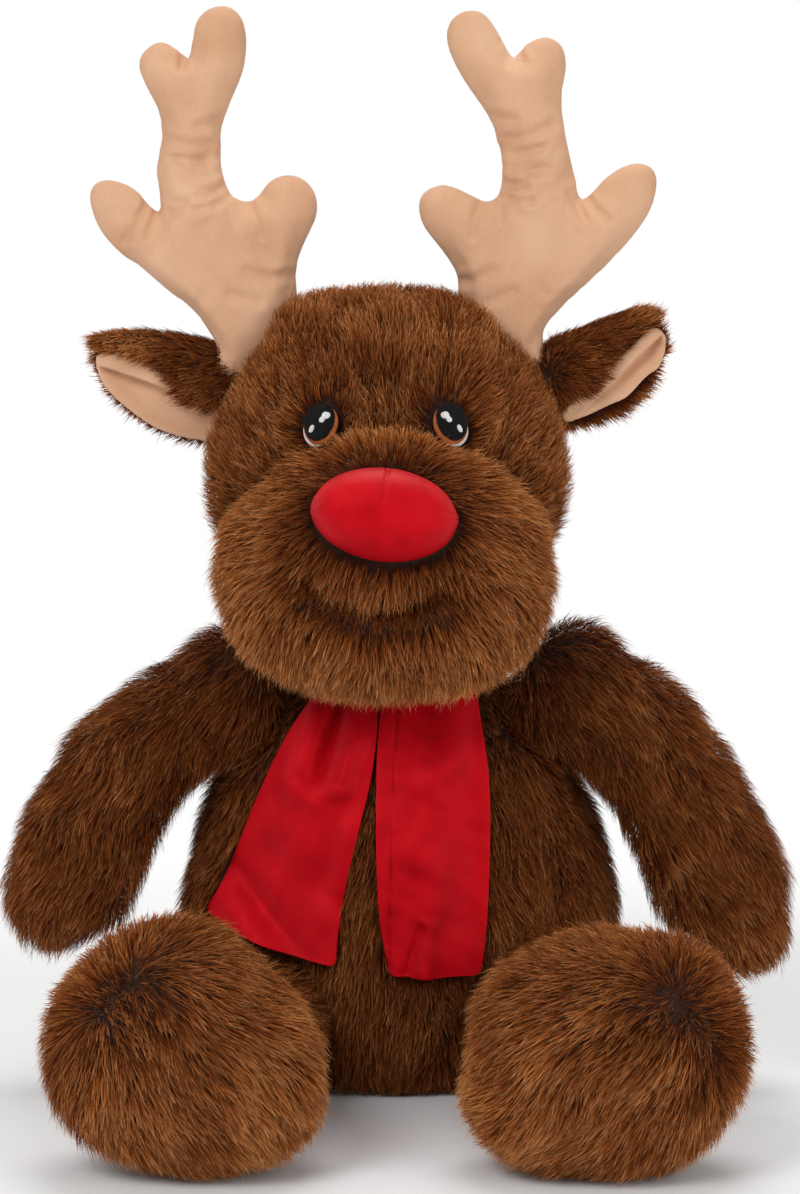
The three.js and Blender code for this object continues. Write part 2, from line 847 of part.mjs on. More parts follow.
function addScarfEnd(side) {
  const columns = smallSegments / 2;
  const rows = smallSegments;
  const name = side.name;
  const overBandStart = scarfTop - overBandShares.start * bandHeight;
  const overBandEnd = scarfTop - overBandShares.end * bandHeight;
  const points = [];
  for (let layer = 0; layer < 2; layer += 1) {
    for (let row = 0; row <= rows; row += 1) {
      const v = row / rows;
      const width = THREE.MathUtils.lerp(scarfTopWidth[name], scarfEndWidth[name], v);
      const place = THREE.MathUtils.lerp(scarfTopPlaceShares[name], scarfEndPlaceShares[name], v);
      for (let column = 0; column <= columns; column += 1) {
        const u = column / columns - 0.5;
        const rise = scarfEndRise[name] * v * v * (-side.sign * 0.5 - u);
        const z = scarfTop - v * scarfLength[name] - side.sign * rise;
        const x = place * torsoWidth + u * width;
        const overBand = THREE.MathUtils.smoothstep(z, overBandEnd, overBandStart);
        const onTorso = surfaceY(torsoFace, x, z) - 2 * seamGap;
        const onBand = surfaceY(bandFace, x, z) - 3 * seamGap;
        const back = THREE.MathUtils.lerp(onTorso, onBand, overBand);
        const fold = (1 - Math.cos(u * 4 * Math.PI)) * v * (1 - v) * scarfThickness;
        points.push(new THREE.Vector3(x, back - fold - layer * scarfThickness, z));
      }
    }
  }
  const end = solidOf(slabGeometry(points, columns, rows));
  const clear = solidOf(loftGeometry(torsoForm, seamGap));
  addPiece(`scarf_end_${name}`, end.subtract(clear), redSatin, scarfPivot(side));
}

// Two grids of points, back then front, closed along their rims.
function slabGeometry(points, columns, rows) {
  const faces = [];
  const layerSize = (columns + 1) * (rows + 1);
  const at = (layer, row, column) => layer * layerSize + row * (columns + 1) + column;
  const quad = (a, b, c, d) => faces.push(a, b, c, a, c, d);
  for (let row = 0; row < rows; row += 1) {
    for (let column = 0; column < columns; column += 1) {
      const cell = [
        [row, column],
        [row, column + 1],
        [row + 1, column + 1],
        [row + 1, column],
      ];
      quad(...cell.map(([r, c]) => at(0, r, c)));
      quad(...cell.reverse().map(([r, c]) => at(1, r, c)));
    }
  }
  for (let row = 0; row < rows; row += 1) {
    quad(at(0, row, 0), at(0, row + 1, 0), at(1, row + 1, 0), at(1, row, 0));
    quad(at(0, row + 1, columns), at(0, row, columns), at(1, row, columns), at(1, row + 1, columns));
  }
  for (let column = 0; column < columns; column += 1) {
    quad(at(0, 0, column + 1), at(0, 0, column), at(1, 0, column), at(1, 0, column + 1));
    quad(at(0, rows, column), at(0, rows, column + 1), at(1, rows, column + 1), at(1, rows, column));
  }
  const geometry = new THREE.BufferGeometry().setFromPoints(points);
  geometry.setIndex(faces);
  return geometry;
}

function addTail() {
  const middle = tailTop - tailLength / 2;
  const back = surfaceY(torsoFace, 0, middle, false);
  const tuft = puffGeometry({
    at: new THREE.Vector3(0, back, middle),
    width: tailWidth,
    depth: tailThickness * 2,
    height: tailLength,
    planPower: 2,
    sidePower: 1.8,
    segments: smallSegments,
    rings: limbRings,
  });
  const clear = solidOf(loftGeometry(torsoForm, seamGap));
  const pivot = new THREE.Vector3(0, surfaceY(torsoFace, 0, tailTop, false), tailTop);
  addPiece("tail", solidOf(tuft).subtract(clear), furBrown, pivot);
}

const neckSpace = neckSocket();
const limbSpaces = [neckSpace];
for (const side of sides) {
  limbSpaces.push(swept(armForm(side), shoulderHinge(side), limbSocketGap));
  limbSpaces.push(swept(legForm(side), hipHinge(side), limbSocketGap));
}
const antlerSpaces = sides.map((side) => {
  const lean = (geometry) => antlerLeant(side, geometry);
  return swept(antlerForms(side)[0], antlerHinge(side), headSocketGap, lean);
});
const earSpaces = sides.map((side) => {
  const lift = (geometry) => earLifted(side, geometry);
  return swept(earBackForm(side), earHinge(side), headSocketGap, lift);
});

addTorso(limbSpaces);
addPiece("neck_filling", neckSolid(), fibreWhite, neckPivot);
addHead([neckSpace, ...antlerSpaces, ...earSpaces]);
addNose();
addEyes();
sides.forEach((side, index) => {
  addEar(side, antlerSpaces[index], solidOf(loftGeometry(headForm, seamGap)));
  addAntler(side);
  addArm(side);
  addLeg(side);
  addScarfEnd(side);
});
addBand(limbSpaces);
addTail();

export default deer;
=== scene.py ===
import math

import bmesh
import bpy
import numpy as np
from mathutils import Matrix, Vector, kdtree
from mathutils.bvhtree import BVHTree


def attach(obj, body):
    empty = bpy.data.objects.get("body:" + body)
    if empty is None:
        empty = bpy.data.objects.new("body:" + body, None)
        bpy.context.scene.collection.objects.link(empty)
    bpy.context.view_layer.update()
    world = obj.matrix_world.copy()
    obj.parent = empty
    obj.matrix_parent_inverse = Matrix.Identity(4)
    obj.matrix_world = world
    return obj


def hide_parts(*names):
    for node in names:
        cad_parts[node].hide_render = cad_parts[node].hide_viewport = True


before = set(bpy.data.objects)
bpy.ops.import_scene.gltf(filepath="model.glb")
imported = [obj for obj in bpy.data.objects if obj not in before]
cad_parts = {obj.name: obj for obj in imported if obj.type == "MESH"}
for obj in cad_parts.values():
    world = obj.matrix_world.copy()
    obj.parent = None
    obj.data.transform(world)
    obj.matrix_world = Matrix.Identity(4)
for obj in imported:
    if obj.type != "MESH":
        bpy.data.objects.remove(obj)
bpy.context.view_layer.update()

scene = bpy.context.scene
layer = bpy.context.view_layer
mm = 0.001
sides = {"left": 1, "right": -1}  # the deer's own left is at +X


# Selecting and editing

def objectMode():
    if bpy.context.mode != "OBJECT":
        bpy.ops.object.mode_set(mode="OBJECT")


def deselectAll():
    objectMode()
    bpy.ops.object.select_all(action="DESELECT")


def makeActive(piece):
    deselectAll()
    piece.select_set(True)
    layer.objects.active = piece


def editMode(piece):
    makeActive(piece)
    bpy.ops.object.mode_set(mode="EDIT")
    bpy.ops.mesh.select_all(action="SELECT")


def applyModifier(piece, kind, name, **settings):
    modifier = piece.modifiers.new(name, kind)
    for key, value in settings.items():
        setattr(modifier, key, value)
    makeActive(piece)
    bpy.ops.object.modifier_apply(modifier=modifier.name)


def placesOf(mesh):
    places = np.empty(len(mesh.vertices) * 3)
    mesh.vertices.foreach_get("co", places)
    return places.reshape(-1, 3)


def setPlaces(mesh, places):
    mesh.vertices.foreach_set("co", places.astype(np.float32).ravel())
    mesh.update()


def normalsOf(mesh):
    normals = np.empty(len(mesh.vertices) * 3)
    mesh.vertex_normals.foreach_get("vector", normals)
    return normals.reshape(-1, 3)


def shapeOf(piece):
    return placesOf(piece.data), normalsOf(piece.data)


def addObject(name, data):
    piece = bpy.data.objects.new(name, data)
    scene.collection.objects.link(piece)
    return piece


def addMesh(name, places, faces, edges=()):
    mesh = bpy.data.meshes.new(name)
    mesh.from_pydata([tuple(p) for p in places], list(edges), faces)
    mesh.update()
    return addObject(name, mesh)


def surfaceOf(piece):
    mesh = piece.data
    return BVHTree.FromPolygons(placesOf(mesh).tolist(), [list(p.vertices) for p in mesh.polygons])


# Which points lie in the box round a piece, grown by margin
def inBox(points, piece, margin):
    places = placesOf(piece.data)
    return ((points > places.min(0) - margin) & (points < places.max(0) + margin)).all(1)


def faceOutwards(piece):
    shape = bmesh.new()
    shape.from_mesh(piece.data)
    inverted = shape.calc_volume(signed=True) < 0
    shape.free()
    if inverted:
        editMode(piece)
        bpy.ops.mesh.flip_normals()
        objectMode()


def alignFaces(piece):
    editMode(piece)
    bpy.ops.mesh.normals_make_consistent(inside=False)
    objectMode()


def evenMesh(piece, voxel, smoothing):
    applyModifier(piece, "REMESH", "even mesh", mode="VOXEL", voxel_size=voxel)
    faceOutwards(piece)
    applyModifier(piece, "SMOOTH", "round off", factor=0.5, iterations=smoothing)


def fineMesh(piece):
    applyModifier(piece, "SUBSURF", "fine mesh", levels=1, render_levels=1)


def fatten(piece, size):
    editMode(piece)
    bpy.ops.transform.shrink_fatten(value=size)
    objectMode()


def unit(vectors):
    return vectors / (np.linalg.norm(vectors, axis=-1, keepdims=True) + 1e-9)


def smoothStep(value):
    value = np.clip(value, 0, 1)
    return value * value * (3 - 2 * value)


# The cubic curve between the second and third of four points
def cubic(p0, p1, p2, p3, t):
    return 0.5 * (
        2 * p1
        + (p2 - p0) * t
        + (2 * p0 - 5 * p1 + 4 * p2 - p3) * t**2
        + (3 * p1 - p0 - 3 * p2 + p3) * t**3
    )


# A closed curve through points, as pattern paper is cut
def closedCurve(points, steps=6):
    points = np.array(points, float)
    p0, p1, p2, p3 = (np.roll(points, shift, axis=0)[:, None] for shift in (1, 0, -1, -2))
    t = (np.arange(steps) / steps)[None, :, None]
    return cubic(p0, p1, p2, p3, t).reshape(-1, 2)


# Points at shares of the length of an open curve
def openCurve(points, shares):
    points = np.array(points, float)
    gaps = np.linalg.norm(np.diff(points, axis=0), axis=1)
    at = np.concatenate([[0], np.cumsum(gaps)]) / gaps.sum()
    padded = np.vstack([2 * points[0] - points[1], points, 2 * points[-1] - points[-2]])
    index = np.clip(np.searchsorted(at, shares, side="right") - 1, 0, len(points) - 2)
    t = ((shares - at[index]) / (at[index + 1] - at[index]))[:, None]
    return cubic(*(padded[index + i] for i in range(4)), t)


# Distance in x and z from a line of points in mm
def lineGap(places, line):
    flat = places[:, [0, 2]]
    best = np.full(len(flat), np.inf)
    for start, end in zip(np.array(line, float) * mm, np.array(line[1:], float) * mm):
        along = end - start
        share = np.clip((flat - start) @ along / (along @ along), 0, 1)[:, None]
        best = np.minimum(best, np.linalg.norm(flat - start - share * along, axis=1))
    return best


# Distance and direction in x and z from a place in mm, and a share that falls to 0 at its reach
def gatherAt(places, middle, reach):
    dx, dz = (places[:, [0, 2]] - np.array(middle) * mm).T
    gap = np.hypot(dx, dz)
    return gap, np.arctan2(dz, dx), smoothStep(1 - gap / (reach * mm))


# A slab cut to a closed outline of (x, z) in mm, between two depths in mm
def cutSlab(name, outline, front, back):
    count = len(outline)
    places = [(x * mm, front * mm, z * mm) for x, z in outline]
    slab = addMesh(name, places, [], [(i, (i + 1) % count) for i in range(count)])
    editMode(slab)
    bpy.ops.mesh.edge_face_add()
    bpy.ops.mesh.extrude_region_move(TRANSFORM_OT_translate={"value": (0, (back - front) * mm, 0)})
    alignFaces(slab)
    return slab


# Filled cloth: an even mesh is blown up by Cloth pressure and its movement is capped
def fillWithFibre(piece, sim):
    start = placesOf(piece.data)
    cloth = piece.modifiers.new("filling", "CLOTH")
    settings = cloth.settings
    settings.quality = sim["quality"]
    settings.mass = sim["mass"]
    settings.tension_stiffness = settings.compression_stiffness = sim["stretch"]
    settings.shear_stiffness = sim["shear"]
    settings.bending_stiffness = sim["bend"]
    settings.use_pressure = True
    settings.uniform_pressure_force = sim["pressure"]
    settings.effector_weights.gravity = 0
    for frameNumber in range(1, sim["frames"] + 1):
        scene.frame_set(frameNumber)
    shape = piece.evaluated_get(bpy.context.evaluated_depsgraph_get())
    ends = placesOf(shape.data)
    piece.modifiers.remove(cloth)
    scene.frame_set(1)
    move = ends - start
    size = np.linalg.norm(move, axis=1, keepdims=True)
    cap = sim["cap"] * mm
    setPlaces(piece.data, start + move * np.minimum(1, cap / np.maximum(size, 1e-9)))
    print("filled:", piece.name, len(start), "points, moved", round(float(size.mean() / mm), 1), "mm on average")


# The studio

studio = {
    "cameraPlace": (0.0018, -2.5, 0.572),
    "cameraPitch": 6.45,
    "lens": 187.5,
    "floorColor": (0.93, 0.93, 0.93, 1),
    "backgroundColor": (1, 1, 1, 1),
    "ambientStrength": 0.54,
    "floorSize": 14,
    "floorFade": (0.36, 0.78),  # metres from the middle
    "lamps": [
        {"name": "key_lamp", "at": (-1.5, -2.3, 2.3), "size": 1.7, "power": 44},
        {"name": "fill_lamp", "at": (1.9, -2.2, 1.1), "size": 2.2, "power": 23},
        {"name": "top_lamp", "at": (0.1, 0.5, 2.6), "size": 1.8, "power": 25},
    ],
    "lampTarget": (0, -0.05, 0.3),
}


# Adds a shader node. Its inputs take constants, or outputs of other nodes to link
def addNode(tree, kind, inputs=None, **settings):
    node = tree.nodes.new("ShaderNode" + kind)
    for key, value in settings.items():
        setattr(node, key, value)
    for socket, value in (inputs or {}).items():
        if isinstance(value, bpy.types.NodeSocket):
            tree.links.new(value, node.inputs[socket])
        else:
            node.inputs[socket].default_value = value
    return node


def newMaterial(name):
    material = bpy.data.materials.new(name)
    material.use_nodes = True
    material.node_tree.nodes.clear()
    return material, material.node_tree


def buildStudio():
    camera = addObject("camera", bpy.data.cameras.new("camera"))
    camera.location = studio["cameraPlace"]
    camera.rotation_euler = (math.radians(90 - studio["cameraPitch"]), 0, 0)
    camera.data.sensor_fit = "HORIZONTAL"
    camera.data.sensor_width = 36
    camera.data.lens = studio["lens"]
    scene.camera = camera
    for lamp in studio["lamps"]:
        light = bpy.data.lights.new(lamp["name"], "AREA")
        light.shape = "DISK"
        light.size = lamp["size"]
        light.energy = lamp["power"]
        holder = addObject(lamp["name"], light)
        holder.location = lamp["at"]
        aim = Vector(studio["lampTarget"]) - Vector(lamp["at"])
        holder.rotation_euler = aim.to_track_quat("-Z", "Y").to_euler()

    # Soft grey light on the deer, plain white behind it
    world = scene.world or bpy.data.worlds.new("studio")
    scene.world = world
    world.use_nodes = True
    tree = world.node_tree
    tree.nodes.clear()
    ray = addNode(tree, "LightPath").outputs
    seen = addNode(tree, "Math", {0: ray["Is Camera Ray"], 1: ray["Is Glossy Ray"]}, operation="MAXIMUM")
    seen = addNode(tree, "Math", {0: seen.outputs[0], 1: ray["Is Transmission Ray"]}, operation="MAXIMUM")
    ambient = addNode(tree, "Background", {"Strength": studio["ambientStrength"]})
    white = addNode(tree, "Background", {"Color": studio["backgroundColor"]})
    mix = addNode(tree, "MixShader", {0: seen.outputs[0], 1: ambient.outputs[0], 2: white.outputs[0]})
    addNode(tree, "OutputWorld", {"Surface": mix.outputs[0]})

    # The floor fades into the background away from the deer
    deselectAll()
    bpy.ops.mesh.primitive_plane_add(size=studio["floorSize"])
    floor = bpy.context.object
    floor.name = "floor"
    material, tree = newMaterial("floor_paper")
    paper = addNode(tree, "BsdfPrincipled", {"Base Color": studio["floorColor"], "Roughness": 0.9})
    glow = addNode(tree, "Emission", {"Color": studio["backgroundColor"]})
    place = addNode(tree, "TexCoord").outputs["Object"]
    reach = addNode(tree, "VectorMath", {0: place}, operation="LENGTH")
    low, high = studio["floorFade"]
    fade = addNode(tree, "MapRange", {"From Min": low, "From Max": high, "Value": reach.outputs["Value"]},
                   interpolation_type="SMOOTHSTEP")
    ray = addNode(tree, "LightPath").outputs
    seen = addNode(tree, "Math", {0: fade.outputs["Result"], 1: ray["Is Camera Ray"]}, operation="MULTIPLY")
    mix = addNode(tree, "MixShader", {0: seen.outputs[0], 1: paper.outputs[0], 2: glow.outputs[0]})
    addNode(tree, "OutputMaterial", {"Surface": mix.outputs[0]})
    floor.data.materials.append(material)
    scene.view_settings.view_transform = "Standard"
    print("studio: camera, floor and", len(studio["lamps"]), "lamps")


# Cloth materials: suede, satin and embroidery thread share one grain

def buildClothGrain():
    group = bpy.data.node_groups.new("cloth_grain", "ShaderNodeTree")
    for name, value in (("Patch Scale", 40.0), ("Nap Scale", 900.0), ("Patch Share", 0.5)):
        socket = group.interface.new_socket(name=name, in_out="INPUT", socket_type="NodeSocketFloat")
        socket.default_value = value
    for name in ("Mask", "Height"):
        group.interface.new_socket(name=name, in_out="OUTPUT", socket_type="NodeSocketFloat")
    given = group.nodes.new("NodeGroupInput").outputs
    result = group.nodes.new("NodeGroupOutput")
    place = addNode(group, "TexCoord").outputs["Object"]
    patch = addNode(group, "TexNoise", {"Detail": 3, "Vector": place, "Scale": given["Patch Scale"]})
    nap = addNode(group, "TexNoise", {"Detail": 4, "Roughness": 0.7, "Vector": place, "Scale": given["Nap Scale"]})
    mix = addNode(group, "Mix", {"Factor": given["Patch Share"], "A": nap.outputs["Fac"], "B": patch.outputs["Fac"]})
    spread = addNode(group, "MapRange", {"From Min": 0.3, "From Max": 0.7, "Value": mix.outputs["Result"]})
    group.links.new(spread.outputs["Result"], result.inputs["Mask"])
    group.links.new(nap.outputs["Fac"], result.inputs["Height"])
    return group


suede = {
    "lightColor": (0.75, 0.462, 0.295, 1),
    "darkColor": (0.55, 0.285, 0.158, 1),
    "grain": {"Patch Scale": 20, "Nap Scale": 1100, "Patch Share": 0.62},
    "bump": {"Strength": 0.35, "Distance": 0.0004},
    "surface": {
        "Roughness": 0.92, "Specular IOR Level": 0.2,
        "Sheen Weight": 0.22, "Sheen Roughness": 0.45, "Sheen Tint": (1, 0.86, 0.74, 1),
    },
}
satin = {
    "lightColor": (0.56, 0.0045, 0.0105, 1),
    "darkColor": (0.40, 0.0022, 0.0062, 1),
    "grain": {"Patch Scale": 55, "Nap Scale": 1500, "Patch Share": 0.8},
    "threadScale": 900,  # the bands of the wave are about 0.35 mm apart
    "bump": {"Strength": 0.14, "Distance": 0.0002},
    "surface": {
        "Roughness": 0.44, "Specular IOR Level": 0.45,
        "Anisotropic": 0.35, "Specular Tint": (1, 0.07, 0.08, 1),
    },
}
embroidery = {
    "grain": {"Patch Scale": 700, "Nap Scale": 2600, "Patch Share": 0.5},
    "bump": {"Strength": 0.3, "Distance": 0.0002},
    "surface": {"Roughness": 0.5, "Specular IOR Level": 0.12},
}
threadColors = {
    "black": ((0.0035, 0.003, 0.0035, 1), (0.008, 0.0075, 0.008, 1)),
    "orange": ((0.33, 0.07, 0.014, 1), (0.52, 0.15, 0.04, 1)),
    "white": ((0.7, 0.68, 0.66, 1), (0.9, 0.88, 0.86, 1)),
}


def clothMaterial(name, grain, cloth):
    material, tree = newMaterial(name)
    effect = addNode(tree, "Group", node_tree=grain)
    for socket, value in cloth["grain"].items():
        effect.inputs[socket].default_value = value
    shade = addNode(tree, "Mix", {
        "A": cloth["darkColor"], "B": cloth["lightColor"], "Factor": effect.outputs["Mask"],
    }, data_type="RGBA")
    height = effect.outputs["Height"]
    if "threadScale" in cloth:
        place = addNode(tree, "TexCoord").outputs["Object"]
        weave = addNode(tree, "TexWave", {"Scale": cloth["threadScale"], "Distortion": 0.6, "Vector": place},
                        bands_direction="DIAGONAL")
        height = addNode(tree, "Math", {0: weave.outputs["Fac"], 1: height}, operation="ADD").outputs[0]
    bump = addNode(tree, "Bump", {**cloth["bump"], "Height": height})
    surface = addNode(tree, "BsdfPrincipled", {
        "Base Color": shade.outputs["Result"], "Normal": bump.outputs["Normal"], **cloth["surface"],
    })
    addNode(tree, "OutputMaterial", {"Surface": surface.outputs[0]})
    return material


def buildClothMaterials():
    grain = buildClothGrain()
    threadMaterials = {
        color: clothMaterial(
            f"{color}_embroidery_thread", grain, {**embroidery, "darkColor": dark, "lightColor": light}
        )
        for color, (dark, light) in threadColors.items()
    }
    return clothMaterial("tan_suede", grain, suede), clothMaterial("red_satin", grain, satin), threadMaterials


def finishPiece(piece, material, body, replaced=()):
    makeActive(piece)
    bpy.ops.object.shade_smooth()
    piece.data.materials.clear()
    piece.data.materials.append(material)
    if replaced:
        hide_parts(*replaced)
    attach(piece, body)


# Fur: a padded skin under a pile of thin tapered strands

fur = {
    # Colours along a strand from its root, for the darkest and the lightest pile. The pile has golden tips. The very
    # bright last stop of the lightest pile is also painted light: a glow through the tips at the pile's edges
    "dark": [
        (0.06, (0.018, 0.0033, 0.0007, 1)), (0.42, (0.07, 0.0138, 0.0028, 1)),
        (0.76, (0.15, 0.035, 0.0078, 1)), (0.97, (0.38, 0.13, 0.036, 1)),
    ],
    "light": [
        (0.06, (0.055, 0.010, 0.0016, 1)), (0.42, (0.225, 0.054, 0.0098, 1)),
        (0.76, (0.43, 0.133, 0.032, 1)), (0.97, (1.0, 0.53, 0.215, 1)),
    ],
    "surface": {"Roughness": 0.65, "Specular IOR Level": 0.05, "Specular Tint": (1, 0.62, 0.32, 1)},
    "backingColors": ((0.03, 0.007, 0.0016, 1), (0.02, 0.006, 0.002, 1)),
    "backingScale": 260,
    "coverReach": 40 * mm,  # cloth this far above a root presses on its strand
    "pressed": 0.7,  # of the room under the cloth is left to the strand
    "cut": 0.85,  # of the way to the cloth is left to a strand that would pass through
}


def buildFurMaterials():
    hair, tree = newMaterial("faux_fur")
    strand = addNode(tree, "UVMap", uv_map="strand")
    parts = addNode(tree, "SeparateXYZ", {0: strand.outputs["UV"]})  # X is the tone, Y the height
    ramps = []
    for word in ("dark", "light"):
        ramp = addNode(tree, "ValToRGB", {"Fac": parts.outputs["Y"]})
        stops = ramp.color_ramp.elements
        stops.new(0.4)
        stops.new(0.7)
        for stop, (place, color) in zip(stops, fur[word]):
            stop.position = place
            stop.color = color
        ramps.append(ramp.outputs["Color"])
    tone = addNode(tree, "Mix", {"Factor": parts.outputs["X"], "A": ramps[0], "B": ramps[1]}, data_type="RGBA")
    surface = addNode(tree, "BsdfPrincipled", {"Base Color": tone.outputs["Result"], **fur["surface"]})
    addNode(tree, "OutputMaterial", {"Surface": surface.outputs[0]})

    backing, tree = newMaterial("fur_backing")
    place = addNode(tree, "TexCoord").outputs["Object"]
    noise = addNode(tree, "TexNoise", {"Scale": fur["backingScale"], "Vector": place})
    first, second = fur["backingColors"]
    shade = addNode(tree, "Mix", {"A": first, "B": second, "Factor": noise.outputs["Fac"]}, data_type="RGBA")
    cloth = addNode(tree, "BsdfPrincipled", {"Base Color": shade.outputs["Result"], "Roughness": 0.95})
    addNode(tree, "OutputMaterial", {"Surface": cloth.outputs[0]})
    return hair, backing


# A closed, even copy of the outside of some CAD nodes, drawn in by inset
def outerSkin(name, nodeNames, voxel, inset, smoothing=12, extras=(), openRing=False):
    copies = [*extras, *(addObject(name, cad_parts[node].data.copy()) for node in nodeNames)]
    makeActive(copies[0])
    for copy in copies:
        copy.select_set(True)
    if len(copies) > 1:
        bpy.ops.object.join()
    skin = layer.objects.active
    skin.name = name
    skin.data.materials.clear()
    editMode(skin)
    bpy.ops.mesh.remove_doubles(threshold=0.6 * mm)
    bpy.ops.mesh.select_all(action="DESELECT")
    objectMode()
    if not (openRing or extras):
        # Faces that look onto another face are the inside of the shell: they go, and the gap is filled
        tree = surfaceOf(skin)
        for polygon in skin.data.polygons:
            start = polygon.center + polygon.normal * 0.3 * mm
            polygon.select = tree.ray_cast(start, polygon.normal, 0.6)[0] is not None
        bpy.ops.object.mode_set(mode="EDIT")
        bpy.ops.mesh.select_mode(type="FACE")
        bpy.ops.mesh.delete(type="FACE")
        bpy.ops.mesh.select_mode(type="VERT")
        bpy.ops.mesh.select_all(action="SELECT")
        bpy.ops.mesh.fill_holes(sides=0)
        bpy.ops.mesh.quads_convert_to_tris()
        bpy.ops.mesh.normals_make_consistent(inside=False)
        objectMode()
    evenMesh(skin, voxel, smoothing)
    fatten(skin, -inset)
    applyModifier(skin, "SMOOTH", "even again", factor=0.5, iterations=4)
    return skin


# Smooth seeded noise of about -1 to 1 that changes over the given length
def wander(points, seed, length):
    rng = np.random.default_rng(seed)
    total = np.zeros(len(points))
    for _ in range(5):
        way = rng.normal(size=3)
        way *= 2 * math.pi / (length * np.linalg.norm(way)) * rng.uniform(0.6, 1.5)
        total += np.sin(points @ way + rng.uniform(0, 2 * math.pi))
    return total / 2.6


# A place on a skin, a point or a line of points in mm, and what changes near it
def spot(at, radius, **changes):
    return {"at": at, "radius": radius, **changes}


# Where a skin is pressed in, or with a negative depth lifted
def dent(at, radius, depth, **more):
    return spot(at, radius, depth=depth, **more)


# The way to each point from the nearest place on a point or a line of points in mm
def awayFromLine(points, line, stretch=(1, 1, 1)):
    line = np.atleast_2d(np.array(line, float)) * mm
    best = np.full(points.shape, np.inf)
    for start, end in zip(line, line[1:] if len(line) > 1 else line):
        along = end - start
        size = max(along @ along, 1e-12)
        share = np.clip((points - start) @ along / size, 0, 1)[:, None]
        gap = (points - start - share * along) / np.array(stretch)
        closer = np.linalg.norm(gap, axis=1) < np.linalg.norm(best, axis=1)
        best[closer] = gap[closer]
    return best


# 1 at a spot's middle, falling to 0 past its radius
def near(points, place):
    gap = awayFromLine(points, place["at"], place.get("stretch", (1, 1, 1)))
    return np.clip(1 - np.linalg.norm(gap, axis=1) / (place["radius"] * mm), 0, 1)


# Moves (x, z) in mm back onto the front of a skin
def ontoSkin(skin, line):
    tree = surfaceOf(skin)
    hits = [tree.ray_cast(Vector((x * mm, -0.6, z * mm)), Vector((0, 1, 0)), 1)[0] for x, z in line]
    return [tuple(hit / mm) for hit in hits]


# The way the nap lies: straight flows and flows away from a point, added up
def flowAt(points, flows):
    total = np.zeros_like(points)
    for flow in flows:
        share = near(points, flow["within"])[:, None] if "within" in flow else 1
        if "along" in flow:
            total += share * flow.get("strength", 1) * np.array(flow["along"], float)
        else:
            total += share * flow.get("strength", 1) * unit(awayFromLine(points, flow["awayFrom"]))
    return total


insideWay = Vector((0.31, 0.17, 0.93)).normalized()


# Which points lie inside any of these closed meshes, or within margin of them
def insideOf(points, pieces, margin):
    found = np.zeros(len(points), bool)
    for piece in pieces:
        tree = surfaceOf(piece)
        for index in np.nonzero(inBox(points, piece, margin) & ~found)[0]:
            point = Vector(points[index])
            place, normal = tree.ray_cast(point, insideWay, 2)[:2]
            found[index] = place is not None and normal.dot(insideWay) > 0
            if margin and not found[index]:
                found[index] = tree.find_nearest(point)[3] < margin
    return found


def dentSkin(skin, dents):
    places, normals = shapeOf(skin)
    for place in dents:
        places -= normals * (smoothStep(near(places, place)) * place["depth"] * mm)[:, None]
    setPlaces(skin.data, places)


# Strands under cloth are pressed down, and those that would pass through it are cut short
def pressUnder(points, up, covers):
    root = points[:, 0].copy()
    for cover in covers:
        tree = surfaceOf(cover)
        for index in np.nonzero(inBox(root, cover, 30 * mm))[0]:
            start = Vector(root[index])
            gap = tree.ray_cast(start, Vector(up[index]), fur["coverReach"])[3]
            if gap is not None:
                rise = (points[index] - root[index]) @ up[index]
                room, top = fur["pressed"] * gap, rise.max()
                if top > room:
                    points[index] -= np.outer(rise * (1 - room / top), up[index])
            for step in (2, 3):
                way = Vector(points[index, step] - root[index])
                hit = tree.ray_cast(start, way, way.length)[3]
                if hit is not None:
                    left = fur["cut"] * hit / way.length
                    points[index] = root[index] + (points[index] - root[index]) * left


# One mesh of many ribbons. Each part holds their corners, triangles, heights on the strand and tones
def ribbonMesh(name, parts):
    places, indices, maps, base = [], [], [], 0
    for corners, order, along, tones in parts:
        number, size = corners.shape[:2]
        places.append(corners.reshape(-1, 3))
        indices.append((base + np.arange(number)[:, None] * size + order[None]).ravel())
        uv = np.empty((number, len(order), 2), np.float32)
        uv[:, :, 0] = tones[:, None]
        uv[:, :, 1] = (0.01 + 0.98 * along)[None]
        maps.append(uv.ravel())
        base += number * size
    indices = np.concatenate(indices).astype(np.int32)
    count = len(indices) // 3
    mesh = bpy.data.meshes.new(name)
    mesh.vertices.add(base)
    mesh.vertices.foreach_set("co", np.concatenate(places).astype(np.float32).ravel())
    mesh.loops.add(len(indices))
    mesh.loops.foreach_set("vertex_index", indices)
    mesh.polygons.add(count)
    mesh.polygons.foreach_set("loop_start", np.arange(0, count * 3, 3, dtype=np.int32))
    mesh.polygons.foreach_set("loop_total", np.full(count, 3, np.int32))
    mesh.polygons.foreach_set("use_smooth", np.ones(count, bool))
    for mapName in ("strand", "OFBake"):  # the second map, OFBake, holds the same coordinates as strand
        mesh.uv_layers.new(name=mapName).data.foreach_set("uv", np.concatenate(maps))
    mesh.update()
    mesh.validate()
    mesh.materials.append(furMaterial)
    return addObject(name, mesh)


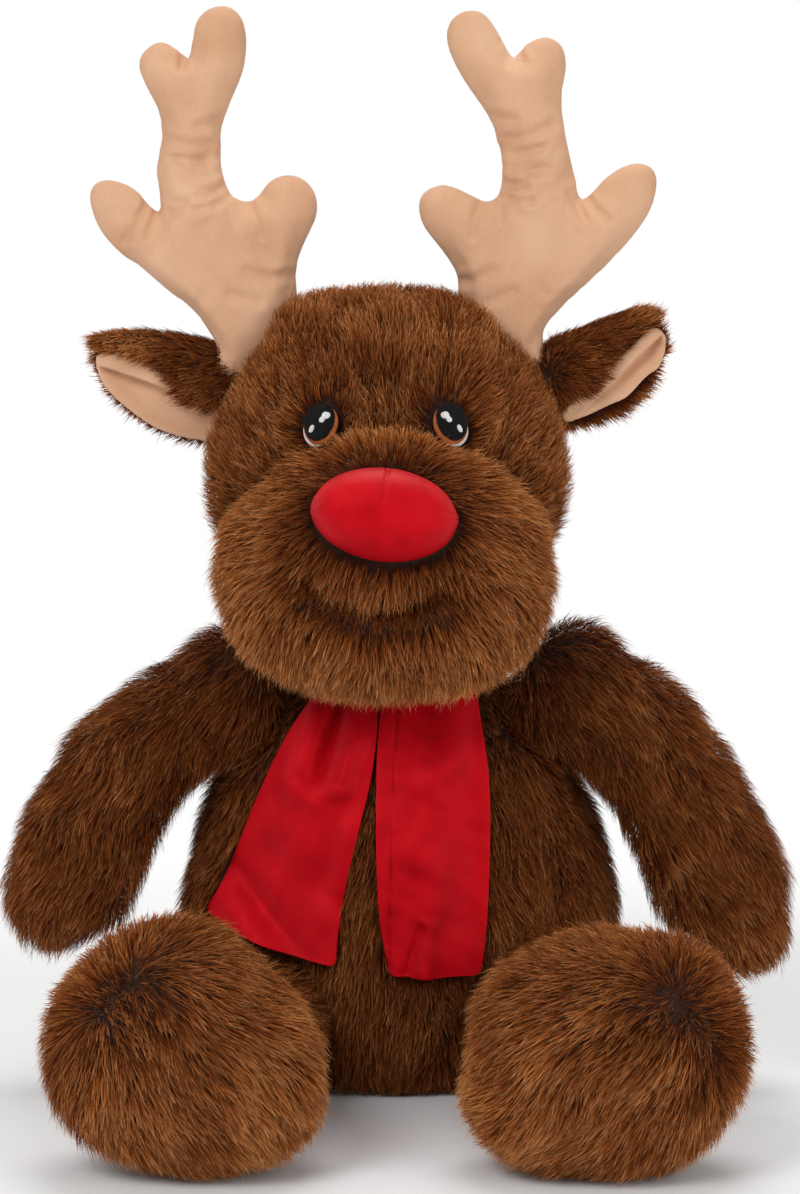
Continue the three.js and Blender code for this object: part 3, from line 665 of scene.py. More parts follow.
# Grows tapered strands on a skin and returns them as one mesh object for each name
def growPile(skin, names, pile, keepOut=(), coveredBy=(), dropUnder=()):
    rng = np.random.default_rng(pile["seed"])
    mesh = skin.data
    mesh.calc_loop_triangles()
    places, normals = shapeOf(skin)
    corners = np.empty(len(mesh.loop_triangles) * 3, np.int64)
    mesh.loop_triangles.foreach_get("vertices", corners)
    corners = corners.reshape(-1, 3)
    a, b, c = (places[corners[:, i]] for i in range(3))
    area = np.linalg.norm(np.cross(b - a, c - a), axis=1) / 2
    count = int(area.sum() * 1e6 * pile["density"])
    face = rng.choice(len(area), count, p=area / area.sum())
    u, v = rng.random(count), rng.random(count)
    flip = u + v > 1
    u[flip], v[flip] = 1 - u[flip], 1 - v[flip]
    weights = np.stack([1 - u - v, u, v], 1)
    roots = (places[corners[face]] * weights[:, :, None]).sum(1)
    up = unit((normals[corners[face]] * weights[:, :, None]).sum(1))
    keep = ~((up[:, 2] < -0.6) & (roots[:, 2] < pile["bareBase"]))  # bare where the base rests
    keep &= ~insideOf(roots, keepOut, pile["clear"])
    for cover in dropUnder:
        tree = surfaceOf(cover)
        for index in np.nonzero(inBox(roots, cover, 15 * mm) & keep)[0]:
            keep[index] = tree.ray_cast(Vector(roots[index]), Vector(up[index]), 16 * mm)[0] is None
    roots, up = roots[keep], up[keep]
    count = len(roots)

    # How long and how dark the pile is here, and which way it lies
    length = pile["length"] * (1 + pile["uneven"] * rng.normal(size=count).clip(-2, 2))
    length *= 1 + 0.12 * wander(roots, pile["seed"] + 1, 0.03)
    tone = 0.5 + 0.2 * wander(roots, pile["seed"] + 2, 0.045) + 0.15 * wander(roots, pile["seed"] + 3, 0.014)
    tone += rng.normal(size=count) * 0.2
    height = np.full(count, float(pile["height"]))
    for place in pile["spots"]:
        share = near(roots, place) ** place.get("power", 1)
        length *= 1 - share * (1 - place.get("lengthShare", 1))
        height *= 1 - share * (1 - place.get("heightShare", place.get("lengthShare", 1)))
        tone += share * place.get("tone", 0)
    height *= 1 + 0.14 * rng.normal(size=count).clip(-2, 2)
    under = rng.random(count) < pile["undercoat"]  # shorter, darker strands fill the pile
    height[under] *= pile["underHeight"]
    length[under] *= pile["underLength"]
    tone[under] -= 0.1
    flow = flowAt(roots, pile["flows"])
    size = np.linalg.norm(flow, axis=1, keepdims=True)
    swirl = np.stack([wander(roots, pile["seed"] + 5 + i, 0.05) for i in range(3)], 1)
    flow += swirl * pile["swirl"] * size.clip(0.3, 2)
    flow += rng.normal(size=(count, 3)) * pile["stray"] * size.clip(0.3, 2)
    flow -= (flow * up).sum(1, keepdims=True) * up
    lie = unit(flow)
    lean = np.linalg.norm(flow, axis=1).clip(0.15, 1)  # near a whorl the pile stands up

    # Each strand rises from its root and bends over the way the nap lies
    shares = np.array([0, 0.34, 0.68, 1.0])
    rise = 1.55 * shares - 0.55 * shares**2
    sweep = shares**1.35
    span = np.sqrt((length**2 - height**2).clip(0.0)) * lean
    points = roots[:, None] + up[:, None] * (height[:, None] * rise)[:, :, None]
    points += lie[:, None] * (span[:, None] * sweep)[:, :, None]
    points[:, :, 2] -= (shares**2 * pile["droop"]) * length[:, None]

    # Tips draw together in small tufts
    tuftCount = max(1, int(count / pile["tuft"]))
    leaders = rng.choice(count, tuftCount, replace=False)
    tree = kdtree.KDTree(tuftCount)
    for order, index in enumerate(leaders):
        tree.insert(roots[index], order)
    tree.balance()
    leader = leaders[np.array([tree.find(root)[1] for root in roots])]
    pull = (shares**1.6)[None, :, None] * (pile["pull"] * rng.uniform(0.6, 1.1, count))[:, None, None]
    points += (points[leader] - points) * pull
    tone += 0.16 * rng.normal(size=count)[leader]
    bend = rng.normal(size=(count, 3)) * pile["curl"]
    points += bend[:, None] * (length[:, None] * np.array([0, 0.5, 0.3, -0.6]))[:, :, None]
    pressUnder(points, up, [*coveredBy, *dropUnder])
    points[:, 0] -= up * pile["sink"]
    points[:, :, 2] = np.maximum(points[:, :, 2], rng.uniform(0.3, 2.5, count)[:, None] * mm)

    # A flat ribbon along each strand, pointed at both ends, with fewer points in the undercoat
    way = unit(points[:, 2] - points[:, 0])
    across = unit(np.cross(way, up))
    facing = np.cross(across, way)
    roll = rng.normal(size=(count, 1)) * math.radians(pile["roll"])
    across = across * np.cos(roll) + facing * np.sin(roll)
    half = across * pile["width"] * rng.uniform(0.6, 1.35, (count, 1)) / 2
    root, low, high, tip = points.transpose(1, 0, 2)
    corner = np.stack([root, low - half, low + half, high - half * 0.8, high + half * 0.8, tip], 1)
    waist = (low + high) / 2
    waistCorner = np.stack([root, waist - half, waist + half, tip], 1)
    tone = tone.clip(0.02, 0.98)
    order, shortOrder = np.array([0, 2, 1, 1, 2, 3, 3, 2, 4, 3, 4, 5]), np.array([0, 2, 1, 1, 2, 3])
    along, shortAlong = shares[[0, 1, 1, 2, 2, 3]][order], np.array([0, 0.51, 0.51, 1])[shortOrder]

    # Split by place, so that no piece is heavy
    made = []
    splitPlace = roots[:, "xyz".index(pile["split"])]
    groups = np.array_split(np.argsort(splitPlace, kind="stable"), len(names))
    for name, group in zip(names, groups):
        upper, lower = group[~under[group]], group[under[group]]
        piece = ribbonMesh(name, [
            (corner[upper], order, along, tone[upper]),
            (waistCorner[lower], shortOrder, shortAlong, tone[lower]),
        ])
        made.append(piece)
        print("pile:", name, len(group), "strands", len(piece.data.polygons), "faces")
    return made


def coverWithFur(skin, names, pile, body, replaced, fill=0.8, **limits):
    piles = growPile(skin, names, pile, **limits)
    finishPiece(skin, backingMaterial, body, replaced)
    for piece in piles:
        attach(piece, body)


# Antlers: two suede panels cut to one pattern, sewn along the edge and filled

antlers = {
    "pivot": {"right": (-83, 438), "left": (59, 438)},
    "lean": {"right": 0, "left": 10},  # degrees inwards
    # The pattern in mm from the pivot, outwards and up
    "outline": {
        "right": [
            (-20, -8), (-25, 26), (-26, 42), (-29, 55), (-34, 68), (-38, 79), (-38, 88), (-33, 97), (-24, 101),
            (-15, 99), (-6, 92), (4, 90), (13, 94), (19, 102), (23, 112), (23, 124), (21, 138), (16, 154),
            (10, 172), (8, 189), (10, 200), (15, 206), (23, 207), (32, 202), (36, 192), (40, 182), (43, 178),
            (53, 182), (62, 185), (68, 181), (72, 174), (68, 162), (62, 148), (59, 138), (59, 124), (60, 109),
            (59, 87), (62, 81), (72, 86), (79, 92), (87, 95), (97, 96), (103, 91), (102, 84), (97, 72),
            (87, 60), (73, 47.5), (59, 34.5), (45, 22), (33, 9), (25, -3), (19, -18),
        ],
        "left": [
            (-17, -8), (-19, 24), (-19, 44), (-26, 64), (-33, 81), (-32, 94), (-20, 99), (-6, 94), (9, 89),
            (18, 96), (23, 108), (24, 120), (20, 141), (11, 164), (5, 185), (6, 198), (14, 204), (23, 203),
            (31, 192), (38, 179), (43, 174), (54, 179), (64, 180), (71, 174), (71, 163), (66, 147), (64, 133),
            (64, 113), (65, 96), (67, 80), (78, 81), (91, 87), (105, 89), (114, 85), (114, 76), (105, 61),
            (86, 44), (64, 27), (45, 13), (31, 0), (21, -18),
        ],
    },
    # Notches where the cloth of the panels crumples: place, reach and how many creases
    "notches": [
        ((20, 94), 40, 9), ((60, 88), 42, 9), ((43, 178), 22, 7),
        ((-20, 50), 34, 6), ((24, 122), 26, 5), ((42, 26), 30, 5),
    ],
    "creaseHeight": 0.9 * mm,
    # Creases that show in front, in mm from the pivot: line, depth and width
    "creases": [
        ([(56, 127), (41, 122), (27, 121)], 1.7, 3.2), ([(47, 115), (31, 114), (20, 118)], 2.0, 2.8),
        ([(34, 93), (23, 97), (12, 103)], 2.4, 2.8), ([(36, 84), (22, 89), (13, 97)], 1.6, 2.4),
        ([(8, 93), (1, 81), (-2, 70)], 1.4, 2.4), ([(66, 88), (72, 75), (79, 66)], 1.6, 2.4),
        ([(60, 85), (65, 68)], 1.3, 2.4), ([(43, 182), (45, 168)], 2.2, 2.4), ([(20, 138), (34, 134)], 1.2, 3.0),
        ([(0, 30), (16, 34)], 1.3, 3.2), ([(-20, 46), (-8, 44), (6, 48)], 1.2, 3.0),
    ],
    "plump": 2.9 * mm,
    "slab": 13,  # mm of thickness before it is filled
    "voxel": 2.6 * mm,
    "seamWidth": 1.6 * mm,
    "seamDepth": 0.9 * mm,
    "sim": {
        "quality": 6, "mass": 0.08, "stretch": 22, "shear": 8, "bend": 0.4, "pressure": 5,
        "frames": 20,
        "cap": 9,  # mm that a point moves at most
    },
}


def buildAntler(side, sign):
    name = f"antler_{side}_cover"
    outline = closedCurve(antlers["outline"][side], 3)
    slab = cutSlab(name, outline, -antlers["slab"] / 2, antlers["slab"] / 2)
    evenMesh(slab, antlers["voxel"], 5)
    fillWithFibre(slab, antlers["sim"])
    applyModifier(slab, "SMOOTH", "settle", factor=0.4, iterations=2)
    fatten(slab, antlers["plump"])

    # Creases run into each notch and die away
    places, normals = shapeOf(slab)
    lift = np.zeros(len(places))
    for order, (middle, reach, count) in enumerate(antlers["notches"]):
        gap, turn, fade = gatherAt(places, middle, reach)
        fade *= smoothStep(gap / (5 * mm))
        lift += fade * np.sin(turn * count + order + 2.2 * np.sin(gap * 90 + order))
    flatness = smoothStep((np.abs(normals[:, 1]) - 0.3) / 0.5)  # the sewn edge stays smooth
    places += normals * (lift * flatness * antlers["creaseHeight"])[:, None]
    setPlaces(slab.data, places)
    fineMesh(slab)
    places, normals = shapeOf(slab)
    fold = np.zeros(len(places))
    for line, depth, width in antlers["creases"]:
        gap = lineGap(places, line) / (width * mm)
        fold += depth * (np.exp(-(gap**2)) - 0.45 * np.exp(-((gap - 1.9) ** 2)))
    places -= normals * (fold * smoothStep((0.1 - normals[:, 1]) / 0.6) * mm)[:, None]

    # The sewn edge is a fine groove round the middle of the rim
    groove = smoothStep(1 - np.abs(places[:, 1]) / antlers["seamWidth"])
    groove *= smoothStep(1.4 - 2 * np.abs(normals[:, 1]))
    places -= normals * (groove * antlers["seamDepth"])[:, None]
    lean = math.radians(antlers["lean"][side])
    x = places[:, 0] * math.cos(lean) - places[:, 2] * math.sin(lean)
    z = places[:, 0] * math.sin(lean) + places[:, 2] * math.cos(lean)
    baseX, baseZ = antlers["pivot"][side]
    places[:, 0] = baseX * mm + sign * x
    places[:, 2] = baseZ * mm + z
    setPlaces(slab.data, places)
    faceOutwards(slab)
    finishPiece(slab, tanSuede, f"antler_{side}",
                [f"antler_{side}_{part}" for part in ("front", "back", "filling")])
    print("antler:", side, len(slab.data.polygons), "faces")
    return slab


# Nose: a filled satin pad with a dart at the top and a pinch at its point

nose = {
    "middle": (-7, -138, 352),
    "half": (42.5, 23, 27),
    "pointPower": (0.55, 0.63),  # how pointed its ends are, seen from above and from the front
    "tilt": -3,  # mm that its left end hangs lower than its middle
    "voxel": 1.8 * mm,
    "dart": [(-4, 382), (-6, 374), (-8, 362)],
    "dartWidth": 1.1 * mm,
    "dartDepth": 1.2 * mm,
    # Gathers run in to each end: its place in x and z, their reach and depth, all in mm
    "tips": [((-50, 353), 16, 0.3), ((36, 350), 15, 0.48)],
    "gathers": 11,  # in a full turn
}


def buildNose():
    deselectAll()
    bpy.ops.mesh.primitive_uv_sphere_add(segments=64, ring_count=40, radius=1)
    pad = bpy.context.object
    pad.name = "nose_satin"
    places = placesOf(pad.data)
    side = places[:, 0]
    ring = np.sqrt(np.maximum(1 - side**2, 1e-6))
    middle, half = np.array(nose["middle"], float), np.array(nose["half"], float)
    blunt = np.sqrt(np.maximum(1 - side**12, 0))
    deep, high = ((1 - (0.93 * side) ** 2) ** power * blunt for power in nose["pointPower"])
    shape = np.stack([side, places[:, 1] / ring * deep, places[:, 2] / ring * high], 1) * half
    shape[:, 2] += nose["tilt"] * side
    setPlaces(pad.data, (middle + shape) * mm)
    evenMesh(pad, nose["voxel"], 4)
    fineMesh(pad)
    places, normals = shapeOf(pad)
    gap = lineGap(places, nose["dart"])
    push = np.exp(-((gap / nose["dartWidth"]) ** 2)) * (normals[:, 1] < 0.2) * nose["dartDepth"]
    for tip, reach, depth in nose["tips"]:
        turn, fade = gatherAt(places, tip, reach)[1:]
        push -= fade * np.sin(turn * nose["gathers"] + 1) * depth * mm
    places -= normals * push[:, None]
    setPlaces(pad.data, places)
    faceOutwards(pad)
    finishPiece(pad, redSatin, "head", ["nose_cover", "nose_filling"])
    return pad


# Eyes: satin-stitch embroidery, thread by thread, on a trimmed patch of the head

eyes = {
    "at": {"left": (31, -86, 401), "right": (-44, -86, 401)},
    "tilt": 22,  # degrees, the top leaning inwards
    "threadGap": 0.42 * mm,
    "threadHeight": 0.34 * mm,
    # Middle outwards and up, half width and height, lift above the patch, all in mm, and the threads
    "layers": [
        ("white_rim", (0.7, -2.9), (9.2, 11.7), 0.0, "white", "rays"),
        ("iris", (-0.4, -1.5), (10.0, 12.0), 0.45, "orange", "rays"),
        ("pupil", (0.2, 0), (9.4, 11.4), 0.9, "black", "rows"),
    ],
    "glints": [((-3.7, 4.0), 2.5, 2.2), ((-1.5, 1.5), 1.7, 2.0), ((4.7, -4.0), 1.4, 2.5)],
    "glintLift": 1.5,
    "glintSlope": 0.25,
    "patch": (10, 12.4),  # half width and height
    "patchMiddle": (0.4, -1.6),
    "patchSink": 0.5,  # below the stitches
    "patchEdge": 1.4,  # how much further its edge is turned down
    "patchThick": 5,  # at its edge
    "patchBack": 7,  # how deep the middle of its back lies
    "dome": (2.2, 15, 18),  # its rise, and where it would fall to 0 to the side and up
}


# Each run of seven points becomes a closed six-sided thread that is sunk in at both ends
def stitchThreads(name, runs, facing, material):
    runs = np.array(runs)
    gap, height = eyes["threadGap"], eyes["threadHeight"]
    count, rings = runs.shape[:2]
    arch = np.array([-0.8, 0.4, 0.9, 1.0, 0.9, 0.4, -0.8]) * height
    thick = np.array([0.5, 0.9, 1.0, 1.0, 1.0, 0.9, 0.5])
    across = unit(np.cross(runs[:, -1] - runs[:, 0], facing))
    turns = np.arange(6) * math.pi / 3
    ring = runs[:, :, None] + facing * arch[None, :, None, None]
    ring = ring + across[:, None, None] * (np.cos(turns)[None, None] * thick[None, :, None] * gap * 0.56)[..., None]
    ring = ring + facing * (np.sin(turns)[None, None] * thick[None, :, None] * height * 0.8)[..., None]
    faces = []
    for thread in range(count):
        base = thread * rings * 6
        for r in range(rings - 1):
            for k in range(6):
                a, b = base + r * 6 + k, base + r * 6 + (k + 1) % 6
                faces.append((a, b, b + 6, a + 6))
        faces.append(tuple(base + k for k in reversed(range(6))))
        faces.append(tuple(base + (rings - 1) * 6 + k for k in range(6)))
    piece = addMesh(name, ring.reshape(-1, 3), faces)
    alignFaces(piece)
    finishPiece(piece, material, "head")
    return piece


def buildEye(side, sign, skin):
    tree = surfaceOf(skin)
    middle = np.array(eyes["at"][side], float) * mm
    normal = np.array(tree.find_nearest(Vector(middle))[1])
    normal = unit(normal * 0.6 + np.array((sign * 0.12, -1, 0.1)) * 0.4)
    right = unit(np.cross(normal, (0, 0, 1)))
    right *= np.sign(right[0]) * sign  # outwards on the face
    up = unit(np.cross(right, normal))
    up *= np.sign(up[2])
    tilt = math.radians(eyes["tilt"])

    def onPatch(u, v, lift):
        rise, wide, high = eyes["dome"]
        dome = rise * (1 - (u / wide) ** 2 - (v / high) ** 2)
        return middle + (right * u + up * v + normal * (dome + lift)) * mm

    # A point on an oval whose long axis leans inwards at the top
    def oval(centre, half, turn):
        u, v = half[0] * math.cos(turn), half[1] * math.sin(turn)
        return (
            centre[0] + u * math.cos(tilt) - v * math.sin(tilt),
            centre[1] + u * math.sin(tilt) + v * math.cos(tilt),
        )

    def run(start, end, lift):
        shares = (0, 0.06, 0.25, 0.5, 0.75, 0.94, 1)
        return [onPatch(start[0] + (end[0] - start[0]) * k, start[1] + (end[1] - start[1]) * k, lift) for k in shares]

    made = []
    gap = eyes["threadGap"] / mm
    for word, centre, half, lift, color, way in eyes["layers"]:
        runs = []
        if way == "rows":
            steps = int(2 * half[1] / gap)
            for step in range(1, steps):
                turn = math.asin(1 - 2 * step / steps)
                runs.append(run(oval(centre, half, math.pi - turn), oval(centre, half, turn), lift))
        else:
            steps = int(2 * math.pi * half[1] * 0.93 / gap)
            inner = (half[0] * 0.45, half[1] * 0.45)
            for step in range(steps):
                turn = 2 * math.pi * step / steps
                runs.append(run(oval(centre, inner, turn), oval(centre, half, turn), lift))
        made.append(stitchThreads(f"eye_{side}_{word}", runs, normal, threads[color]))
    runs = []
    for centre, halfWide, halfHigh in eyes["glints"]:
        steps = int(2 * halfHigh / gap)
        for step in range(1, steps):
            rise = halfHigh * (1 - 2 * step / steps)
            reach = halfWide * math.sqrt(1 - (rise / halfHigh) ** 2)
            x, z = centre[0] - rise * math.sin(tilt), centre[1] + rise * math.cos(tilt)
            climb = reach * eyes["glintSlope"]
            runs.append(run((x - reach, z - climb), (x + reach, z + climb), eyes["glintLift"]))
    made.append(stitchThreads(f"eye_{side}_glints", runs, normal, threads["white"]))

    # The patch under the stitches is one closed dark pad that reaches back into the head
    rings, around = 7, 40
    sink = eyes["patchSink"]
    places, faces = [], []
    for ring in range(rings):
        share = 1 - ring / rings
        for step in range(around):
            half = [size * share for size in eyes["patch"]]
            u, v = oval(eyes["patchMiddle"], half, 2 * math.pi * step / around)
            places.append(onPatch(u, v, -sink - eyes["patchEdge"] * smoothStep((share - 0.75) / 0.25)))
    places.append(onPatch(*eyes["patchMiddle"], -sink))
    for step in range(around):
        places.append(places[step] - normal * eyes["patchThick"] * mm)
    places.append(onPatch(*eyes["patchMiddle"], -eyes["patchBack"]))
    top = rings * around
    low, bottom = top + 1, top + 1 + around
    for ring in range(rings - 1):
        for k in range(around):
            a, b = ring * around + k, ring * around + (k + 1) % around
            faces.append((a, b, b + around, a + around))
    for k in range(around):
        n = (k + 1) % around
        faces.append(((rings - 1) * around + k, (rings - 1) * around + n, top))
        faces.append((low + k, low + n, n, k))
        faces.append((low + n, low + k, bottom))
    patch = addMesh(f"eye_{side}_patch", places, faces)
    alignFaces(patch)
    faceOutwards(patch)
    finishPiece(patch, threads["black"], "head", [f"eye_{side}"])
    print("eye:", side, sum(len(p.data.polygons) for p in made), "stitch faces")
    return patch


# Ears: a fur back whose upper half folds over to the front, and a hollow suede lining

ears = {
    # The lining's cut in mm: x outwards from the middle of the deer, and z
    "lining": {
        "right": [
            (181, 431), (176, 417), (164, 405), (149, 394), (133, 387), (112, 384), (104, 392), (106, 404),
            (124, 412), (138, 424), (150, 433), (163, 438), (172, 438), (179, 436),
        ],
        "left": [
            (156, 452), (161, 447), (161, 438), (157, 428), (149, 422), (139, 411), (127, 405), (114, 399),
            (102, 395), (99, 400), (105, 408), (118, 420), (128, 430), (140, 441), (150, 451),
        ],
    },
    "foldLine": {
        "right": [(178, 429), (160, 424), (148, 419), (132, 413)],
        "left": [(158, 447), (149, 438), (141, 430), (130, 420)],
    },
    # The fur that folds over the lining from above
    "flap": {
        "right": [
            (92, 429), (104, 440), (122, 446), (146, 449), (170, 449), (184, 446), (178, 439), (160, 435),
            (149, 430), (138, 422), (131, 411), (122, 406), (106, 404), (94, 412),
        ],
        "left": [
            (78, 433), (92, 444), (108, 450), (126, 457), (146, 463), (157, 461), (153, 454), (144, 447),
            (134, 437), (126, 427), (120, 415), (108, 411), (94, 408), (82, 414),
        ],
    },
    "flapDepth": (-8.5, 7.0),
    "liningDepth": (-3.8, -0.8),
    "liningVoxel": 1.5 * mm,
    "hollow": 4.4,  # mm deep, over a slope this wide at its rim
    "slope": 11 * mm,
    "hollowAbove": 0.45,  # the share of it above the fold line
    "lip": 3.6,
    "lipReach": {"under": 5 * mm, "over": 7 * mm},
    "rimGrow": 1.07,  # the fur back reaches this far past the lining
    "rimDepth": (4.0, 11.0),
    "fringe": {
        "right": [(180, 6, 424), (170, 6, 407), (150, 6, 392), (125, 6, 384)],
        "left": [(163, 6, 440), (152, 6, 420), (135, 6, 404), (112, 6, 394)],
    },
    "skinVoxel": 2.4 * mm,
    "skinInset": 2.0 * mm,
}


def buildEarLining(side, sign):
    outline = closedCurve(ears["lining"][side], 5) * (sign, 1)
    lining = cutSlab(f"ear_{side}_suede", outline, *ears["liningDepth"])
    evenMesh(lining, ears["liningVoxel"], 4)
    fineMesh(lining)
    places = placesOf(lining.data)
    flat = places * (sign, 1, 1)
    rim = lineGap(flat, list(closedCurve(ears["lining"][side], 2)) + [ears["lining"][side][0]])
    line = np.array(ears["foldLine"][side], float)
    gap = lineGap(flat, line)
    start, end = line[0] * mm, line[-1] * mm
    along = end - start
    off = flat[:, [0, 2]] - start
    above = np.sign(along[0] * off[:, 1] - along[1] * off[:, 0]) * -1
    share = (off @ along) / (along @ along)
    live = smoothStep(share * 6 + 0.3) * smoothStep((1.15 - share) * 3)
    bowl = smoothStep(rim / ears["slope"]) * ears["hollow"] * np.where(above > 0, ears["hollowAbove"], 1)
    under = np.where(above > 0, 0, np.exp(-gap / ears["lipReach"]["under"])) * live * ears["lip"]
    over = np.where(above > 0, np.exp(-((gap / ears["lipReach"]["over"]) ** 2)), 0) * live * ears["lip"]
    places[:, 1] += (bowl + under - over) * mm
    places[:, 1] += 0.5 * mm * wander(places, 400 + sign, 0.02)
    setPlaces(lining.data, places)
    applyModifier(lining, "SMOOTH", "soften the fold", factor=0.4, iterations=2)
    finishPiece(lining, tanSuede, f"ear_{side}", [f"ear_{side}_lining"])
    return lining


def buildEar(side, sign):
    lining = buildEarLining(side, sign)
    flap = cutSlab(f"ear_{side}_flap", closedCurve(ears["flap"][side], 4) * (sign, 1), *ears["flapDepth"])
    rim = closedCurve(ears["lining"][side], 4)
    rim = (rim.mean(0) + (rim - rim.mean(0)) * ears["rimGrow"]) * (sign, 1)
    edge = cutSlab(f"ear_{side}_edge", rim, *ears["rimDepth"])
    skin = outerSkin(f"ear_{side}_fur_skin", [f"ear_{side}_back"], ears["skinVoxel"], ears["skinInset"],
                     smoothing=6, extras=[flap, edge])
    fringe = [(sign * x, y, z) for x, y, z in ears["fringe"][side]]
    dentSkin(skin, [dent(fringe, 22, 1.2)])
    root = (sign * 90, 0, 420)
    pile = {
        **pileBase,
        "seed": 61 + sign,
        "density": 1.6,
        "sink": 2.4 * mm,
        "length": 11.5 * mm,
        "height": 5 * mm,
        "width": 0.46 * mm,
        "pull": 0.25,
        "flows": [
            {"awayFrom": root, "strength": 1.0},
            {"along": (0, 0, -0.5), "strength": 0.6},
            {"along": (0, 0, 1), "within": spot([(sign * 100, 10, 455), (sign * 165, 10, 460)], 26)},
        ],
        "spots": [
            spot((sign * 100, -6, 430), 62, lengthShare=0.9, tone=-1.0),
            spot((sign * 172, 0, 455), 44, tone=0.7),
            spot(fringe, 24, lengthShare=0.85, tone=0.4),
        ],
    }
    coverWithFur(skin, [f"ear_{side}_pile"], pile, f"ear_{side}", [f"ear_{side}_back"], fill=0.3,
                 keepOut=[lining, headSkin], dropUnder=[lining])


# Scarf: a gathered satin band round the neck and two hanging ends of doubled satin

scarf = {
    # Edges from the top down in mm (x, z), then the corners of the hem are rounded
    "edges": {
        "right": (
            [(-41, 254), (-47, 240), (-66, 211), (-84, 173), (-100, 133), (-114, 108)],
            [(-9.5, 254), (-10.8, 232), (-12.8, 207), (-15.8, 188), (-22, 163), (-29, 133), (-34.5, 100), (-36, 82)],
        ),
        "left": (
            [(-8.3, 254), (-9.6, 232), (-11.6, 205), (-12, 188), (-12, 147), (-10, 108), (-4, 77)],
            [(45, 254), (48, 232), (54, 191), (54.5, 147), (52.5, 105), (49, 77)],
        ),
    },
    "hemSag": {"right": 4.0, "left": 0.8},
    "length": {"right": 164, "left": 177},
    "flat": {"right": (0.095, 0.19), "left": (0.08, 0.19)},  # in metres, before it was hung
    "corner": 4.5,  # radius in mm
    "steps": (48, 100),  # across and down
    "thickness": 1.7 * mm,
    # Creases: line, height and width in mm, and for some where they start and end along the cloth
    "creases": {
        "left": [
            ([(14, 104), (6, 79)], -4.0, 3.0), ([(19, 106), (17, 79)], 3.0, 5), ([(8, 176), (26, 170)], -3.0, 9),
            ([(10, 150), (24, 138), (22, 118)], 2.6, 8), ([(12, 254), (20, 216)], -3.0, 6),
            ([(38, 254), (36, 200)], 2.6, 9), ([(30, 200), (20, 190)], 2.2, 8), ([(46, 160), (44, 110)], -1.6, 7),
        ],
        "right": [
            ([(-29, 256), (-34, 232), (-42, 206), (-46, 192)], -9.5, 4.0, 0.1, 0.55),
            ([(-19, 256), (-24, 214), (-32, 186)], 6.5, 7, -0.1, 0.7),
            ([(-42, 250), (-54, 214), (-66, 182)], 4.2, 8.5, -0.1, 0.8),
            ([(-64, 190), (-50, 178), (-38, 186)], 3.6, 7, 0, 0.95),
            ([(-84, 150), (-60, 132), (-42, 128)], -4.0, 13, 0, 1.1),
            ([(-16, 186), (-28, 160), (-36, 128)], 2.2, 6, 0, 1.1),
        ],
    },
    # The right hem's outer corner turns up, and the left end's under layer shows at its inner edge
    "cornerRise": 13,
    "cornerDip": 5,
    "layerEdge": ([78, 147, 191, 246], [-4, -3, -2, 2]),  # z and x in mm
    "layerStep": 1.9,
    "layerGroove": 1.1,
}


# The middle surface of the CAD end as a smooth fit of y over x and z
def scarfDepth(node):
    places = placesOf(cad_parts[node].data)
    x, y, z = places.T

    def terms(x, z):
        x, z = x * 10, (z - 0.16) * 10
        return np.stack([np.ones_like(x), x, z, x * x, x * z, z * z, z**3, x * z * z], 1)

    fit = np.linalg.lstsq(terms(x, z), y, rcond=None)[0]
    return lambda x, z: terms(x, z) @ fit


